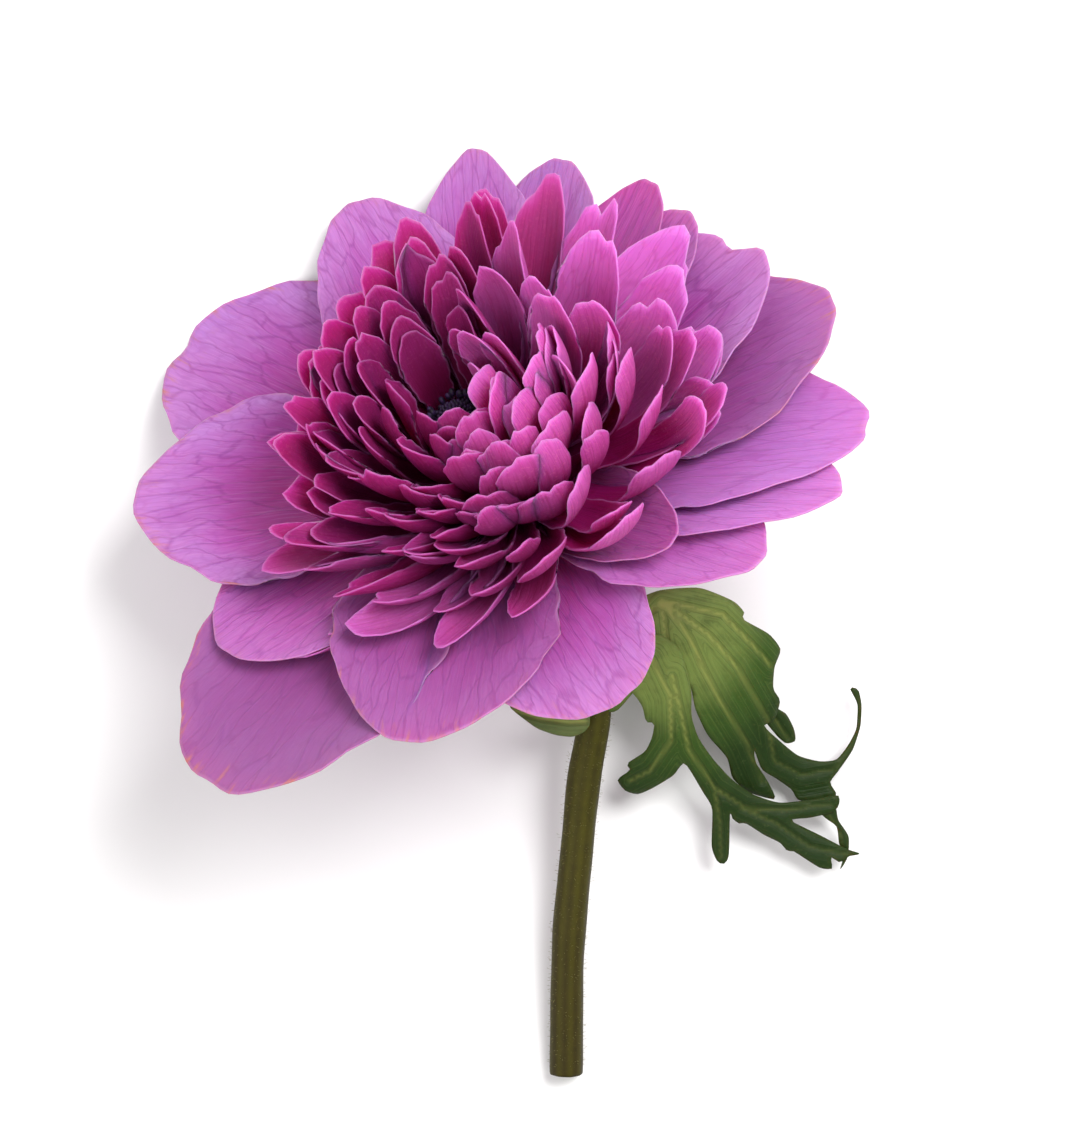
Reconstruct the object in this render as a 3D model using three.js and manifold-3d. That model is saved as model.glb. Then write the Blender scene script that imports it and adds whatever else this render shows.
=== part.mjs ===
// A double anemone, picked and laid down on a flat surface. Millimetres, +Z up, the surface at z = 0.
// The bloom leans back on the tips of two outer tepals, and the third point of rest is the stem's cut end.
import * as THREE from "three";
import { mergeVertices } from "three/addons/utils/BufferGeometryUtils.js";
import { TessellateModifier } from "three/addons/modifiers/TessellateModifier.js";
import Module from "manifold-3d";

const wasm = await Module();
wasm.setup();

// Driving dimensions
const BLOOM_AT = [-2.3, 16.4, 27]; // where the bloom's axis meets the plane of its outer tepals
const TILT = 43; // degrees from straight up to the bloom's axis
const LEAN = 26; // degrees that the axis leans to the left of +Y
const BLADE = 0.66; // thickness of every petal, tepal and leaf
const CLEAR = 0.34; // gap between neighbouring pieces
const STEM_RADIUS = 1.9;
const CORE_RADIUS = 10.6; // the solid ring inside the crowd of inner petals, which they all grow on
const SPINDLE_RADIUS = 3.0; // the stem's end, which carries both rings and the dark centre
const SPINDLE_TOP = 5.0;
const COLLAR_RADIUS = 7.6; // the ring that the outer tepals grow on
const COLLAR_LOW = -2.0;
const COLLAR_HIGH = -0.55;
const CORE_LOW = -0.1;
const CORE_HIGH = 9.0;
const CARPELS_HIGH = 5.2; // height of the dark cone above the spindle
const TEPAL_ROWS = 5; // points along and across an outer tepal
const TEPAL_COLUMNS = 5;
const PETAL_ROWS = 3; // points along and across an inner petal
const PETAL_COLUMNS = 3;
const SEED = 11; // of the random numbers that vary the inner petals

// The stem's middle line from its cut end up to the bloom, as offsets from the root of the bloom
const STEM_ROUTE = [
  [9.7, -70.0, -25.3],
  [9.9, -55.6, -22.7],
  [10.9, -43.9, -20.8],
  [11.7, -35.8, -19.4],
  [12.9, -27.7, -17.7],
  [11.8, -21.2, -15.6],
  [7.9, -13.9, -11.9],
  [3.0, -6.1, -7.3],
  [1.2, -2.5, -2.9],
];
const WHORL = 4; // the point of the route where the three bracts grow

// Each outer tepal: azimuth round the bloom, reach and lift of its tip, bend of its midrib, width, and
// its outline
const OUTER_TEPALS = [
  { azimuth: 121, reach: 47.0, lift: 0.1, bend: 8, width: 31, tip: 0.5, point: 1.0, widest: 0.66,
    shoulder: 0.95, cup: 22 },
  { azimuth: 157, reach: 40.0, lift: 4.0, bend: 8, width: 26, tip: 0.46, point: 1.2, widest: 0.64,
    shoulder: 0.92,
    cup: 16, left: 1.16 },
  { azimuth: 196, reach: 35.0, lift: 1.0, bend: 4, width: 22, tip: 0.5, point: 1.2, shoulder: 0.85,
    cup: 14 },
  { azimuth: 211, reach: 49.0, lift: -1.0, bend: -6, width: 26, tip: 0.42, point: 1.2, widest: 0.66,
    shoulder: 0.88,
    cup: 14, base: 0.5, left: 1.25, right: 1.14 },
  { azimuth: 240, reach: 39.5, lift: 0.0, bend: -8, width: 24, tip: 0.5, point: 1.1, shoulder: 0.9,
    cup: 14, left: 1.15 },
  { azimuth: 270, reach: 35.0, lift: -7.0, bend: -36, width: 21, tip: 0.3, point: 1.0, widest: 0.6,
    shoulder: 0.96,
    cup: 24, base: 0.6, turn: 9, left: 0.86, right: 1.12 },
  { azimuth: 300, reach: 31.0, lift: 3.2, bend: 22, width: 13, tip: 0.4, point: 1.0, cup: 50, roll: 12 },
  { azimuth: 306, reach: 39.0, lift: 0.0, bend: 0, width: 19, tip: 0.45, point: 1.2, shoulder: 0.8,
    cup: 16 },
  { azimuth: 320, reach: 44.3, lift: 1.0, bend: 0, width: 22, tip: 0.5, point: 1.4, cup: 16 },
  { azimuth: 331, reach: 46.0, lift: 1.0, bend: -4, width: 22, tip: 0.46, point: 1.4, cup: 16, left: 1.2 },
  { azimuth: 354, reach: 43.5, lift: 3.5, bend: 4, width: 22, tip: 0.42, point: 0.9, cup: 20, right: 1.3 },
  { azimuth: 5, reach: 39.0, lift: 7.5, bend: 10, width: 27, tip: 0.45, point: 1.2, cup: 24 },
  { azimuth: 22, reach: 36.5, lift: 8.0, bend: 12, width: 16, tip: 0.4, point: 1.3, cup: 24 },
  { azimuth: 30, reach: 36.5, lift: 10.5, bend: 14, width: 14, tip: 0.4, point: 1.1, cup: 30 },
  { azimuth: 59, reach: 46.8, lift: -0.5, bend: 4, width: 17, tip: 0.45, point: 1.2, cup: 24 },
  { azimuth: 70, reach: 44.8, lift: 5.0, bend: 6, width: 17, tip: 0.45, point: 1.5, cup: 24 },
  { azimuth: 88, reach: 42.5, lift: 5.5, bend: 8, width: 19, tip: 0.45, point: 1.0, cup: 20, turn: 6 },
];

// Each whorl of inner petals, from the hollow outwards: how many, where they root and how wide they are
const WHORLS = [
  { count: 7, root: [4.8, 4.0], width: 5.4 },
  { count: 10, root: [5.1, 3.5], width: 5.6 },
  { count: 12, root: [5.3, 3.0], width: 6.0 },
  { count: 14, root: [5.5, 2.5], width: 6.3 },
  { count: 16, root: [5.7, 2.0], width: 6.6 },
  { count: 17, root: [5.9, 1.4], width: 6.9 },
  { count: 17, root: [6.0, 0.8], width: 7.6 },
];

// The shape of the petals whose tips lie at an azimuth: the length, first elevation and last elevation of
// a petal in the first, the middle and the last whorl
const SHAPES = [
  { azimuth: 0, whorls: [[14, 84, 126], [23, 54, 110], [31, 12, 34]] },
  { azimuth: 58, whorls: [[15, 74, 88], [23, 55, 80], [27.5, 36, 58]] },
  { azimuth: 82, whorls: [[14, 75, 90], [21, 54, 82], [24, 40, 65]] },
  { azimuth: 104, whorls: [[13, 75, 92], [19.5, 54, 84], [20.5, 41, 72]] },
  { azimuth: 125, whorls: [[12, 76, 96], [18, 52, 86], [19, 36, 76]] },
  { azimuth: 165, whorls: [[11, 74, 98], [17, 44, 88], [18.5, 18, 62]] },
  { azimuth: 210, whorls: [[11, 72, 100], [17, 26, 78], [28.5, -9, 20]] },
  { azimuth: 245, whorls: [[11, 70, 104], [17, 24, 88], [26, -8, 36]] },
  { azimuth: 275, whorls: [[11, 72, 104], [20, 30, 100], [29, -5, 70]] },
  { azimuth: 305, whorls: [[11, 74, 104], [22, 38, 110], [30, -4, 74]] },
  { azimuth: 337, whorls: [[13, 80, 112], [23, 36, 98], [29, 0, 50]] },
  { azimuth: 360, whorls: [[14, 84, 126], [23, 54, 110], [31, 12, 34]] },
];

// Outlines of the cut leaves as seen from above, as offsets from the whorl
const RIGHT_BRACT_BLADE = [
  [0.1, 0.5], [1.1, 7.7], [3.6, 11.9], [7.2, 13.7], [11.9, 14.0], [15.8, 12.5], [17.1, 11.2],
  [17.0, 10.4], [20.0, 8.7], [21.4, 6.9], [20.7, 4.9], [20.6, 2.4], [21.4, 1.0], [20.8, -1.2],
  [19.6, -1.9], [21.1, -3.4], [23.6, -5.4], [26.1, -6.1], [28.1, -5.9], [29.5, -4.2], [30.4, -2.3],
  [30.5, 0.5], [29.6, 2.4], [30.6, 2.2], [31.0, 0.5], [30.9, -2.0], [30.0, -4.8], [28.3, -7.3],
  [27.4, -8.6], [28.1, -10.2], [23.9, -10.7], [22.9, -9.4], [21.1, -8.1], [19.4, -7.0], [18.5, -4.8],
  [18.7, -6.2], [20.1, -8.4], [21.0, -10.5], [18.0, -9.7], [16.0, -8.0], [15.3, -5.6], [13.0, -2.9],
  [11.5, 0.2], [10.9, 2.7], [9.1, 3.0], [5.8, 3.5], [2.5, -0.1],
];
const RIGHT_BRACT_LOBES = [
  [1.3, 3.8], [4.7, 7.7], [7.2, 8.8], [9.7, 6.9], [11.0, 2.4], [11.1, -0.6], [11.9, -3.1], [13.6, -5.6],
  [15.8, -8.0], [18.3, -9.8], [21.4, -10.8], [25.0, -10.5], [28.2, -10.0], [28.3, -11.2], [27.5, -12.0],
  [25.0, -12.6], [22.8, -12.9], [26.1, -14.6], [29.2, -16.2], [30.9, -16.8], [29.5, -17.1], [28.5, -17.8],
  [27.4, -17.2], [27.6, -18.5], [26.1, -18.4], [23.1, -16.5], [22.4, -16.5], [21.5, -15.5], [19.7, -14.6],
  [17.5, -13.2], [16.9, -13.3], [16.0, -12.7], [15.7, -12.0], [15.6, -16.9], [15.1, -17.9], [14.3, -17.7],
  [13.6, -15.9], [13.6, -11.5], [12.5, -9.5], [10.4, -6.2], [9.1, -7.6], [6.9, -9.0], [5.1, -9.8],
  [3.6, -9.4], [2.7, -8.1], [4.1, -7.0], [3.8, -6.2], [5.8, -4.8], [6.6, -3.1], [6.8, -1.5], [5.9, -1.3],
  [5.4, 0.5], [4.1, 2.2],
];
const RIGHT_BRACT_STRIP = [
  [26.1, -11.8], [26.7, -12.6], [28.1, -13.7], [28.4, -15.7], [29.0, -16.8], [28.5, -18.7], [29.4, -17.2],
  [29.5, -14.8], [28.3, -12.9], [27.9, -11.3],
];
const RIGHT_BRACT_LEAFLET = [
  [19.7, 1.0], [21.1, 0.1], [22.2, -0.6], [23.1, -2.3], [23.3, -3.7], [22.2, -4.0], [21.1, -3.1],
  [19.4, -0.9],
];
const LEFT_BRACT = [
  [-9.7, 0.4], [-6.7, 0.3], [-3.7, 0.4], [-1.7, 0.3], [-0.6, -0.5], [-0.6, -1.7], [-1.3, -2.5],
  [-2.6, -3.0], [-4.5, -2.8], [-6.5, -2.1], [-8.1, -1.0],
];
const BACK_BRACT = [
  [-1.6, -0.5], [-3.4, 3.0], [-7.0, 5.5], [-9.6, 5.4], [-7.6, 7.2], [-10.6, 8.6], [-8.0, 9.6],
  [-9.0, 12.2], [-5.6, 10.9], [-3.6, 10.4], [-4.4, 13.4], [-7.2, 16.2], [-4.4, 16.0], [-4.6, 19.0],
  [-2.2, 17.4], [-0.8, 20.6], [0.4, 17.0], [2.6, 17.8], [2.0, 14.6], [1.0, 11.6], [2.4, 9.0], [5.0, 9.6],
  [5.6, 12.0], [6.8, 9.0], [8.8, 8.6], [6.6, 6.6], [7.6, 4.6], [4.2, 4.6], [2.2, 2.2], [1.6, -0.5],
];

const degrees = THREE.MathUtils.degToRad;
const vector = (x, y, z) => new THREE.Vector3(x, y, z);

// The bloom's own frame: along is its axis, and azimuth 0 lies along out
const along = vector(
  -Math.sin(degrees(LEAN)) * Math.sin(degrees(TILT)),
  Math.cos(degrees(LEAN)) * Math.sin(degrees(TILT)),
  Math.cos(degrees(TILT)),
);
const out = vector(Math.cos(degrees(LEAN)), Math.sin(degrees(LEAN)), 0);
const side = along.clone().cross(out);
const bloomFrame = new THREE.Matrix4().makeBasis(out, side, along).setPosition(...BLOOM_AT);

// Random numbers from 0 to 1 that are the same each time: each state is 16807 times the last, modulo 2^31
// - 1
function* dice(seed) {
  for (let state = seed; ; yield state / 2147483647) state = (state * 16807) % 2147483647;
}

// A raised cosine: 1 at the centre azimuth, 0 from half degrees away
function bump(azimuth, centre, half) {
  const away = Math.abs(((((azimuth - centre + 180) % 360) + 360) % 360) - 180);
  return 0.5 + 0.5 * Math.cos(Math.PI * Math.min(away / half, 1));
}

function solid(geometry) {
  const bare = new THREE.BufferGeometry().setAttribute("position", geometry.getAttribute("position"));
  bare.setIndex(geometry.index);
  const merged = mergeVertices(bare, 1e-4);
  return new wasm.Manifold(
    new wasm.Mesh({
      numProp: 3,
      vertProperties: new Float32Array(merged.getAttribute("position").array),
      triVerts: new Uint32Array(merged.index.array),
    }),
  );
}

// Joins solids, keeps the one body that holds together and fills whatever the join sealed in
function fuse(solids) {
  const bodies = wasm.Manifold.union(solids).decompose();
  return bodies.reduce((best, body) => (body.volume() > best.volume() ? body : best));
}

function largest(body) {
  return fuse([body]);
}

// The grid of a petal's middle surface in its own frame, x outward from the axis and z along it. The
// midrib starts at the root and climbs from the first elevation to the last; the outline widens from its
// base to its widest share of the length and ends in a round or pointed tip; across, it is an arc that
// cups towards the axis.
function petalGrid(petal, rows, columns) {
  const { length, root, rise, climb, width } = petal;
  const { base = 0.4, widest = 0.6, shoulder = 0.75, tip = 0.35, point = 1.3, cup = 50 } = petal;
  const { late = 1, skew = 0, turn = 0, twist = 0, roll = 0, curl = 0, left = 1, right = 1 } = petal;
  const steps = 48;
  const arc = degrees(cup);
  const heading = (s) => {
    const curled = curl * Math.max((s - 0.7) / 0.3, 0) ** 2;
    const elevation = degrees(rise + (climb - rise) * s ** late + curled);
    const bearing = degrees(skew + turn * s ** late);
    return { elevation, bearing };
  };
  const direction = ({ elevation, bearing }) =>
    vector(
      Math.cos(elevation) * Math.cos(bearing),
      Math.cos(elevation) * Math.sin(bearing),
      Math.sin(elevation),
    );
  const midrib = [vector(root[0], 0, root[1])];
  for (let i = 1; i <= steps; i++) {
    const step = direction(heading((i - 0.5) / steps)).multiplyScalar(length / steps);
    midrib.push(midrib[i - 1].clone().add(step));
  }
  const grid = [];
  for (let i = 0; i < rows; i++) {
    for (let j = 0; j < columns; j++) {
      const across = ((2 * j) / (columns - 1) - 1) * (Math.PI / 2);
      const v = Math.sin(across);
      const end = 1 - tip * (1 - Math.max(Math.cos(across), 0) ** point);
      const s = (i / (rows - 1)) * end;
      const k = Math.min(Math.floor(s * steps), steps - 1);
      const middle = midrib[k].clone().lerp(midrib[k + 1], s * steps - k);
      const { elevation, bearing } = heading(s);
      const sideways = vector(-Math.sin(bearing), Math.cos(bearing), 0);
      const normal = direction({ elevation, bearing }).cross(sideways);
      const swell = base + (1 - base) * Math.sin((Math.PI / 2) * Math.min(s / widest, 1)) ** 1.2;
      const taper = 1 - (1 - shoulder) * Math.max((s - widest) / (1 - widest), 0) ** 2;
      const half = (width / 2) * swell * taper * (v < 0 ? right : left);
      const x = (half * Math.sin(arc * v)) / arc;
      const y = (half * (1 - Math.cos(arc * v))) / arc;
      const rolled = degrees(roll + twist * s);
      middle.addScaledVector(sideways, x * Math.cos(rolled) - y * Math.sin(rolled));
      middle.addScaledVector(normal, x * Math.sin(rolled) + y * Math.cos(rolled));
      grid.push(middle);
    }
  }
  return grid;
}

// A closed blade round a grid: the same triangles on its two faces, and a strip round its rim
function bladeOfGrid(grid, rows, columns, thickness) {
  const at = (i, j) => grid[i * columns + j];
  const positions = [];
  for (const face of [0.5, -0.5]) {
    for (let i = 0; i < rows; i++) {
      for (let j = 0; j < columns; j++) {
        const lengthways = at(Math.min(i + 1, rows - 1), j).clone().sub(at(Math.max(i - 1, 0), j));
        const across = at(i, Math.min(j + 1, columns - 1)).clone().sub(at(i, Math.max(j - 1, 0)));
        const normal = lengthways.cross(across).normalize();
        positions.push(...at(i, j).clone().addScaledVector(normal, face * thickness).toArray());
      }
    }
  }
  const back = rows * columns;
  const triangles = [];
  const quad = (a, b, c, d) => triangles.push(a, b, c, a, c, d);
  for (let i = 0; i < rows - 1; i++) {
    for (let j = 0; j < columns - 1; j++) {
      const a = i * columns + j;
      const b = a + columns;
      quad(a, b, b + 1, a + 1);
      triangles.push(back + a, back + b + 1, back + b, back + a, back + a + 1, back + b + 1);
    }
  }
  const rim = [];
  for (let i = 0; i < rows - 1; i++) rim.push(i * columns);
  for (let j = 0; j < columns - 1; j++) rim.push((rows - 1) * columns + j);
  for (let i = rows - 1; i > 0; i--) rim.push(i * columns + columns - 1);
  for (let j = columns - 1; j > 0; j--) rim.push(j);
  rim.forEach((a, n) => {
    const b = rim[(n + 1) % rim.length];
    quad(b, a, back + a, back + b);
  });
  const geometry = new THREE.BufferGeometry();
  geometry.setAttribute("position", new THREE.Float32BufferAttribute(positions, 3));
  geometry.setIndex(triangles);
  return geometry;
}

function petalSolid(petal, rows, columns, thickness = BLADE) {
  const turned = new THREE.Matrix4().makeRotationZ(degrees(petal.azimuth));
  const geometry = bladeOfGrid(petalGrid(petal, rows, columns), rows, columns, thickness);
  return solid(geometry.applyMatrix4(turned).applyMatrix4(bloomFrame));
}

// A solid of revolution round the bloom's axis from a closed profile of [radius, height]
function turnedOnAxis(profile, segments = 18) {
  const points = profile.map(([r, h]) => new THREE.Vector2(r, h));
  const lathe = new THREE.LatheGeometry(points, segments).rotateX(Math.PI / 2);
  return solid(lathe.applyMatrix4(bloomFrame));
}

function ring(inner, outer, low, high) {
  return turnedOnAxis([
    [inner, low],
    [outer, low],
    [outer, high],
    [inner, high],
    [inner, low],
  ]);
}

// The stem's tube, its cut end square across, its other end sunk into the receptacle
function stemTube(radius) {
  const route = STEM_ROUTE.map(([x, y, z]) => vector(x, y, z).add(vector(...BLOOM_AT)));
  const section = new THREE.Shape().absarc(0, 0, radius, 0, 2 * Math.PI);
  return solid(
    new THREE.ExtrudeGeometry(section, {
      extrudePath: new THREE.CatmullRomCurve3(route),
      steps: 18,
      curveSegments: 6,
    }),
  );
}

// The receptacle: it swells from the stem to carry the tepals, and its spindle holds both rings and the
// dark centre
function receptacle(grown = 0) {
  const low = COLLAR_LOW - CLEAR + grown;
  return turnedOnAxis([
    [0, -8],
    [STEM_RADIUS - 0.2 + grown, -8],
    [STEM_RADIUS + 0.3 + grown, -6],
    [3.4 + grown, -3.8],
    [4.8 + grown, low - 0.7],
    [4.8 + grown, low],
    [SPINDLE_RADIUS + grown, low],
    [SPINDLE_RADIUS + grown, SPINDLE_TOP + grown],
    [0, SPINDLE_TOP + grown],
  ]);
}

// The tepals: the arc of each midrib is worked out from its tip's reach and lift
function tepalOf(spec) {
  const root = [3.9, -1.3];
  const outward = spec.reach - root[0];
  const upward = spec.lift - root[1];
  const half = degrees(spec.bend / 2);
  const slope = THREE.MathUtils.radToDeg(Math.atan2(upward, outward));
  const length = Math.hypot(outward, upward) * (half === 0 ? 1 : half / Math.sin(half));
  return { ...spec, root, length, rise: slope - spec.bend / 2, climb: slope + spec.bend / 2 };
}

function outerTepals(thickness, grown = 0) {
  return OUTER_TEPALS.map(tepalOf).map((tepal) =>
    petalSolid(
      { ...tepal, width: tepal.width + 2 * grown, length: tepal.length + grown },
      TEPAL_ROWS,
      TEPAL_COLUMNS,
      thickness,
    ),
  );
}

// Length, first and last elevation of a petal: a parabola through the three whorls, eased from azimuth to
// azimuth
function shapeOf(azimuth, share) {
  const around = THREE.MathUtils.euclideanModulo(azimuth, 360);
  const next = SHAPES.findIndex((shape) => shape.azimuth > around);
  const [before, after] = [SHAPES[next - 1], SHAPES[next]];
  const part = THREE.MathUtils.smoothstep(around, before.azimuth, after.azimuth);
  const [first, middle, last] = before.whorls.map((shape, i) =>
    shape.map((value, k) => value + (after.whorls[i][k] - value) * part),
  );
  const weights = [(2 * share - 1) * (share - 1), 4 * share * (1 - share), share * (2 * share - 1)];
  return first.map((value, k) => value * weights[0] + middle[k] * weights[1] + last[k] * weights[2]);
}

// One inner petal from the azimuth of its tip, its share of the way out, its root, and its luck from -1
// to 1
function petalAt(azimuth, share, root, width, luck) {
  const near = bump(azimuth, 310, 70); // towards the camera side: steep, blunt and bent in
  const swept = bump(azimuth, 222, 78); // low on the left: swept sideways
  const tall = bump(azimuth, 80, 70); // the far wall
  const [length, rise, climb] = shapeOf(azimuth, THREE.MathUtils.clamp(share + 0.05 * luck[0], 0, 1));
  const aside = -42 * swept * (0.35 + 0.65 * share);
  const turn = 12 * luck[5] - 58 * swept * (0.4 + 0.6 * share);
  const grownLength = length * (1 + 0.06 * luck[1]);
  const chord = Math.max(grownLength * Math.cos(degrees((rise + climb) / 2)), root[0]);
  const heading = aside + THREE.MathUtils.radToDeg(Math.asin((root[0] * Math.sin(degrees(aside))) / chord));
  return {
    azimuth: azimuth - aside,
    root,
    length: grownLength,
    rise: rise + 5 * luck[2],
    climb: climb + 8 * luck[3],
    skew: heading - turn / 2,
    turn,
    width: width * (1 - 0.08 * near + 0.1 * luck[6] + 0.5 * share * bump(azimuth, 8, 42)),
    late: 1 + 0.7 * near,
    base: 0.36,
    widest: 0.62 + 0.08 * near,
    shoulder: 0.78 + 0.22 * near,
    tip: 0.22 - 0.06 * near,
    point: 1.15 - 0.5 * near,
    cup: 48 + 14 * luck[7] - 10 * near + 20 * swept,
    twist: 16 * luck[8] + 20 * swept,
    curl: 14 * luck[9] - 12 * tall,
    roll: 50 * bump(azimuth, 345, 48) * (1 - 0.25 * share),
  };
}

function innerPetals() {
  const throws = dice(SEED);
  const luck = () => 2 * throws.next().value - 1;
  const lucks = () => Array.from({ length: 12 }, luck);
  const petals = [];
  WHORLS.forEach(({ count, root, width }, whorl) => {
    const share = whorl / (WHORLS.length - 1);
    for (let i = 0; i < count; i++) {
      const even = 137.5 * whorl + (360 * i) / count + 6 * luck();
      const azimuth = even - 14 * Math.sin(degrees(even - 270)); // closer together on the near side
      petals.push(petalAt(azimuth, share, root, width, lucks()));
    }
  });
  return petals;
}

// A thin leaf: its outline cut from a plate, split finely, then draped over height(x, y) above the surface
function leafSheet(outline, height, longest = 5.4) {
  const shape = new THREE.Shape(outline.map(([x, y]) => new THREE.Vector2(x, y)));
  const plate = new THREE.ExtrudeGeometry(shape, { depth: BLADE, bevelEnabled: false });
  plate.deleteAttribute("normal");
  plate.deleteAttribute("uv");
  const fine = new TessellateModifier(longest, 8).modify(plate);
  const points = fine.getAttribute("position");
  for (let i = 0; i < points.count; i++) {
    const x = points.getX(i);
    const y = points.getY(i);
    points.setXYZ(i, x + whorl.x, y + whorl.y, points.getZ(i) - BLADE / 2 + height(x, y));
  }
  return solid(fine);
}

const whorl = vector(...STEM_ROUTE[WHORL]).add(vector(...BLOOM_AT));
const ground = solid(new THREE.BoxGeometry(300, 300, 20).translate(0, 0, -10));
const cutAtGround = (body) => largest(body.subtract(ground));

// The right bract arches up from the stem and hangs down to its tips
function archHeight(x, y) {
  const away = Math.hypot(x - 6.9, y - 10.5);
  return 1.4 + 13.6 * Math.exp(-(away ** 2) / (2 * 12.5 ** 2));
}

// Its lower lobes lie a little above the blade, and more so towards their tips
function lobeHeight(x, y) {
  return archHeight(x, y) + 0.5 + 1.3 * THREE.MathUtils.smoothstep(x - y, 10, 26);
}

const stemSolid = cutAtGround(fuse([stemTube(STEM_RADIUS), receptacle()]));
const stemRoom = stemTube(STEM_RADIUS + CLEAR);

// The hollow that the dark centre stands in
const centreRoom = turnedOnAxis([
  [0, -4],
  [SPINDLE_RADIUS + CLEAR, -4],
  [SPINDLE_RADIUS + CLEAR, SPINDLE_TOP - 0.1],
  [4.0, SPINDLE_TOP + 0.2],
  [3.4, SPINDLE_TOP + CARPELS_HIGH],
  [1.5, SPINDLE_TOP + CARPELS_HIGH + 1.6],
  [0, SPINDLE_TOP + CARPELS_HIGH + 1.6],
]);

const collar = ring(SPINDLE_RADIUS - 0.5, COLLAR_RADIUS, COLLAR_LOW, COLLAR_HIGH);
const outerBody = cutAtGround(
  fuse([collar, ...outerTepals(BLADE)]).subtract(centreRoom).subtract(receptacle(CLEAR)),
);

const core = turnedOnAxis([
  [SPINDLE_RADIUS - 0.5, CORE_LOW],
  [CORE_RADIUS - 3.0, CORE_LOW],
  [CORE_RADIUS - 0.4, 1.6],
  [CORE_RADIUS, 4.0],
  [CORE_RADIUS - 1.2, CORE_HIGH - 1.6],
  [CORE_RADIUS - 3.6, CORE_HIGH],
  [4.6, CORE_HIGH - 1.0],
  [SPINDLE_RADIUS - 0.5, CORE_HIGH - 1.0],
  [SPINDLE_RADIUS - 0.5, CORE_LOW],
]);
const outerRoom = wasm.Manifold.union([
  ring(0, COLLAR_RADIUS + CLEAR, COLLAR_LOW - 3, COLLAR_HIGH + CLEAR),
  ...outerTepals(BLADE + 2 * CLEAR, CLEAR),
]);
const innerBody = largest(
  fuse([core, ...innerPetals().map((petal) => petalSolid(petal, PETAL_ROWS, PETAL_COLUMNS))])
    .subtract(centreRoom)
    .subtract(outerRoom),
);

// The dark cone of carpels, each a small bump, with short stamens round its foot
function centreSolid() {
  const foot = SPINDLE_TOP + CLEAR;
  const cone = turnedOnAxis(
    [
      [0, foot],
      [2.6, foot],
      [2.5, foot + 2.0],
      [2.0, foot + 3.4],
      [1.1, foot + 4.3],
      [0, foot + 4.6],
    ],
    10,
  );
  const bumps = Array.from({ length: 16 }, (_, i) => {
    const share = (i + 0.5) / 16;
    const polar = Math.acos(1 - share);
    const azimuth = i * 2.39996; // the golden angle spreads them evenly
    const r = 2.45 * Math.sin(polar) ** 0.9;
    const h = foot + 1.4 + 3.0 * Math.cos(polar);
    const bead = new THREE.OctahedronGeometry(0.7, 0);
    bead.translate(r * Math.cos(azimuth), r * Math.sin(azimuth), h);
    return solid(bead.applyMatrix4(bloomFrame));
  });
  const stamens = Array.from({ length: 9 }, (_, i) => {
    const rod = new THREE.CylinderGeometry(0.32, 0.3, 2.6, 4).rotateX(Math.PI / 2).translate(0, 0, 1.3);
    const anther = new THREE.OctahedronGeometry(0.55, 0).scale(1, 1, 1.4).translate(0, 0, 2.7);
    const place = new THREE.Matrix4()
      .makeRotationZ((2 * Math.PI * (i + 0.5)) / 9)
      .multiply(new THREE.Matrix4().makeTranslation(2.35, 0, foot + 0.1 + 0.3 * (i % 3)))
      .multiply(new THREE.Matrix4().makeRotationY(degrees(8)));
    return [rod, anther].map((piece) => solid(piece.applyMatrix4(place).applyMatrix4(bloomFrame)));
  });
  return fuse([cone, ...bumps, ...stamens.flat()]);
}

const rightBract = largest(
  fuse([
    leafSheet(RIGHT_BRACT_BLADE, archHeight),
    leafSheet(RIGHT_BRACT_LOBES, lobeHeight),
    leafSheet(RIGHT_BRACT_STRIP, (x, y) => archHeight(x, y) + 1.3),
    leafSheet(RIGHT_BRACT_LEAFLET, (x, y) => archHeight(x, y) - 0.5),
  ]).subtract(stemRoom),
);

// The left bract clasps the stem and points away from it, folded like a keel
const leftBract = largest(
  leafSheet(LEFT_BRACT, (x) => whorl.z + 2.65 - 0.03 * x * x, 2.5).subtract(stemRoom),
);

// The third bract lies under the bloom, flat and low
const backBract = largest(
  leafSheet(BACK_BRACT, (x, y) => whorl.z - 2.75 - 0.12 * y + 0.02 * x * x).subtract(stemRoom),
);

function meshOf(name, body, colour, roughness) {
  const { numProp, vertProperties, triVerts } = body.getMesh();
  const geometry = new THREE.BufferGeometry();
  const positions = Array.from({ length: (vertProperties.length / numProp) * 3 }, (_, i) => {
    return vertProperties[Math.floor(i / 3) * numProp + (i % 3)];
  });
  geometry.setAttribute("position", new THREE.Float32BufferAttribute(positions, 3));
  geometry.setIndex([...triVerts]);
  const flat = geometry.toNonIndexed();
  flat.computeVertexNormals();
  const look = { color: colour, roughness, metalness: 0, flatShading: true };
  const material = new THREE.MeshStandardMaterial(look);
  const mesh = new THREE.Mesh(flat, material);
  mesh.name = name;
  return mesh;
}

const flower = new THREE.Group();
flower.name = "anemone_flower";
flower.add(
  meshOf("stem", stemSolid, 0x6a6c30, 0.65),
  meshOf("outer_tepals", outerBody, 0xc883d2, 0.6),
  meshOf("inner_petals", innerBody, 0xa83a8c, 0.6),
  meshOf("centre", centreSolid(), 0x1b0f2c, 0.7),
  meshOf("bract_right", rightBract, 0x5f8040, 0.55),
  meshOf("bract_left", leftBract, 0x72845c, 0.55),
  meshOf("bract_back", backBract, 0x5f8040, 0.55),
);

export default flower;
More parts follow.
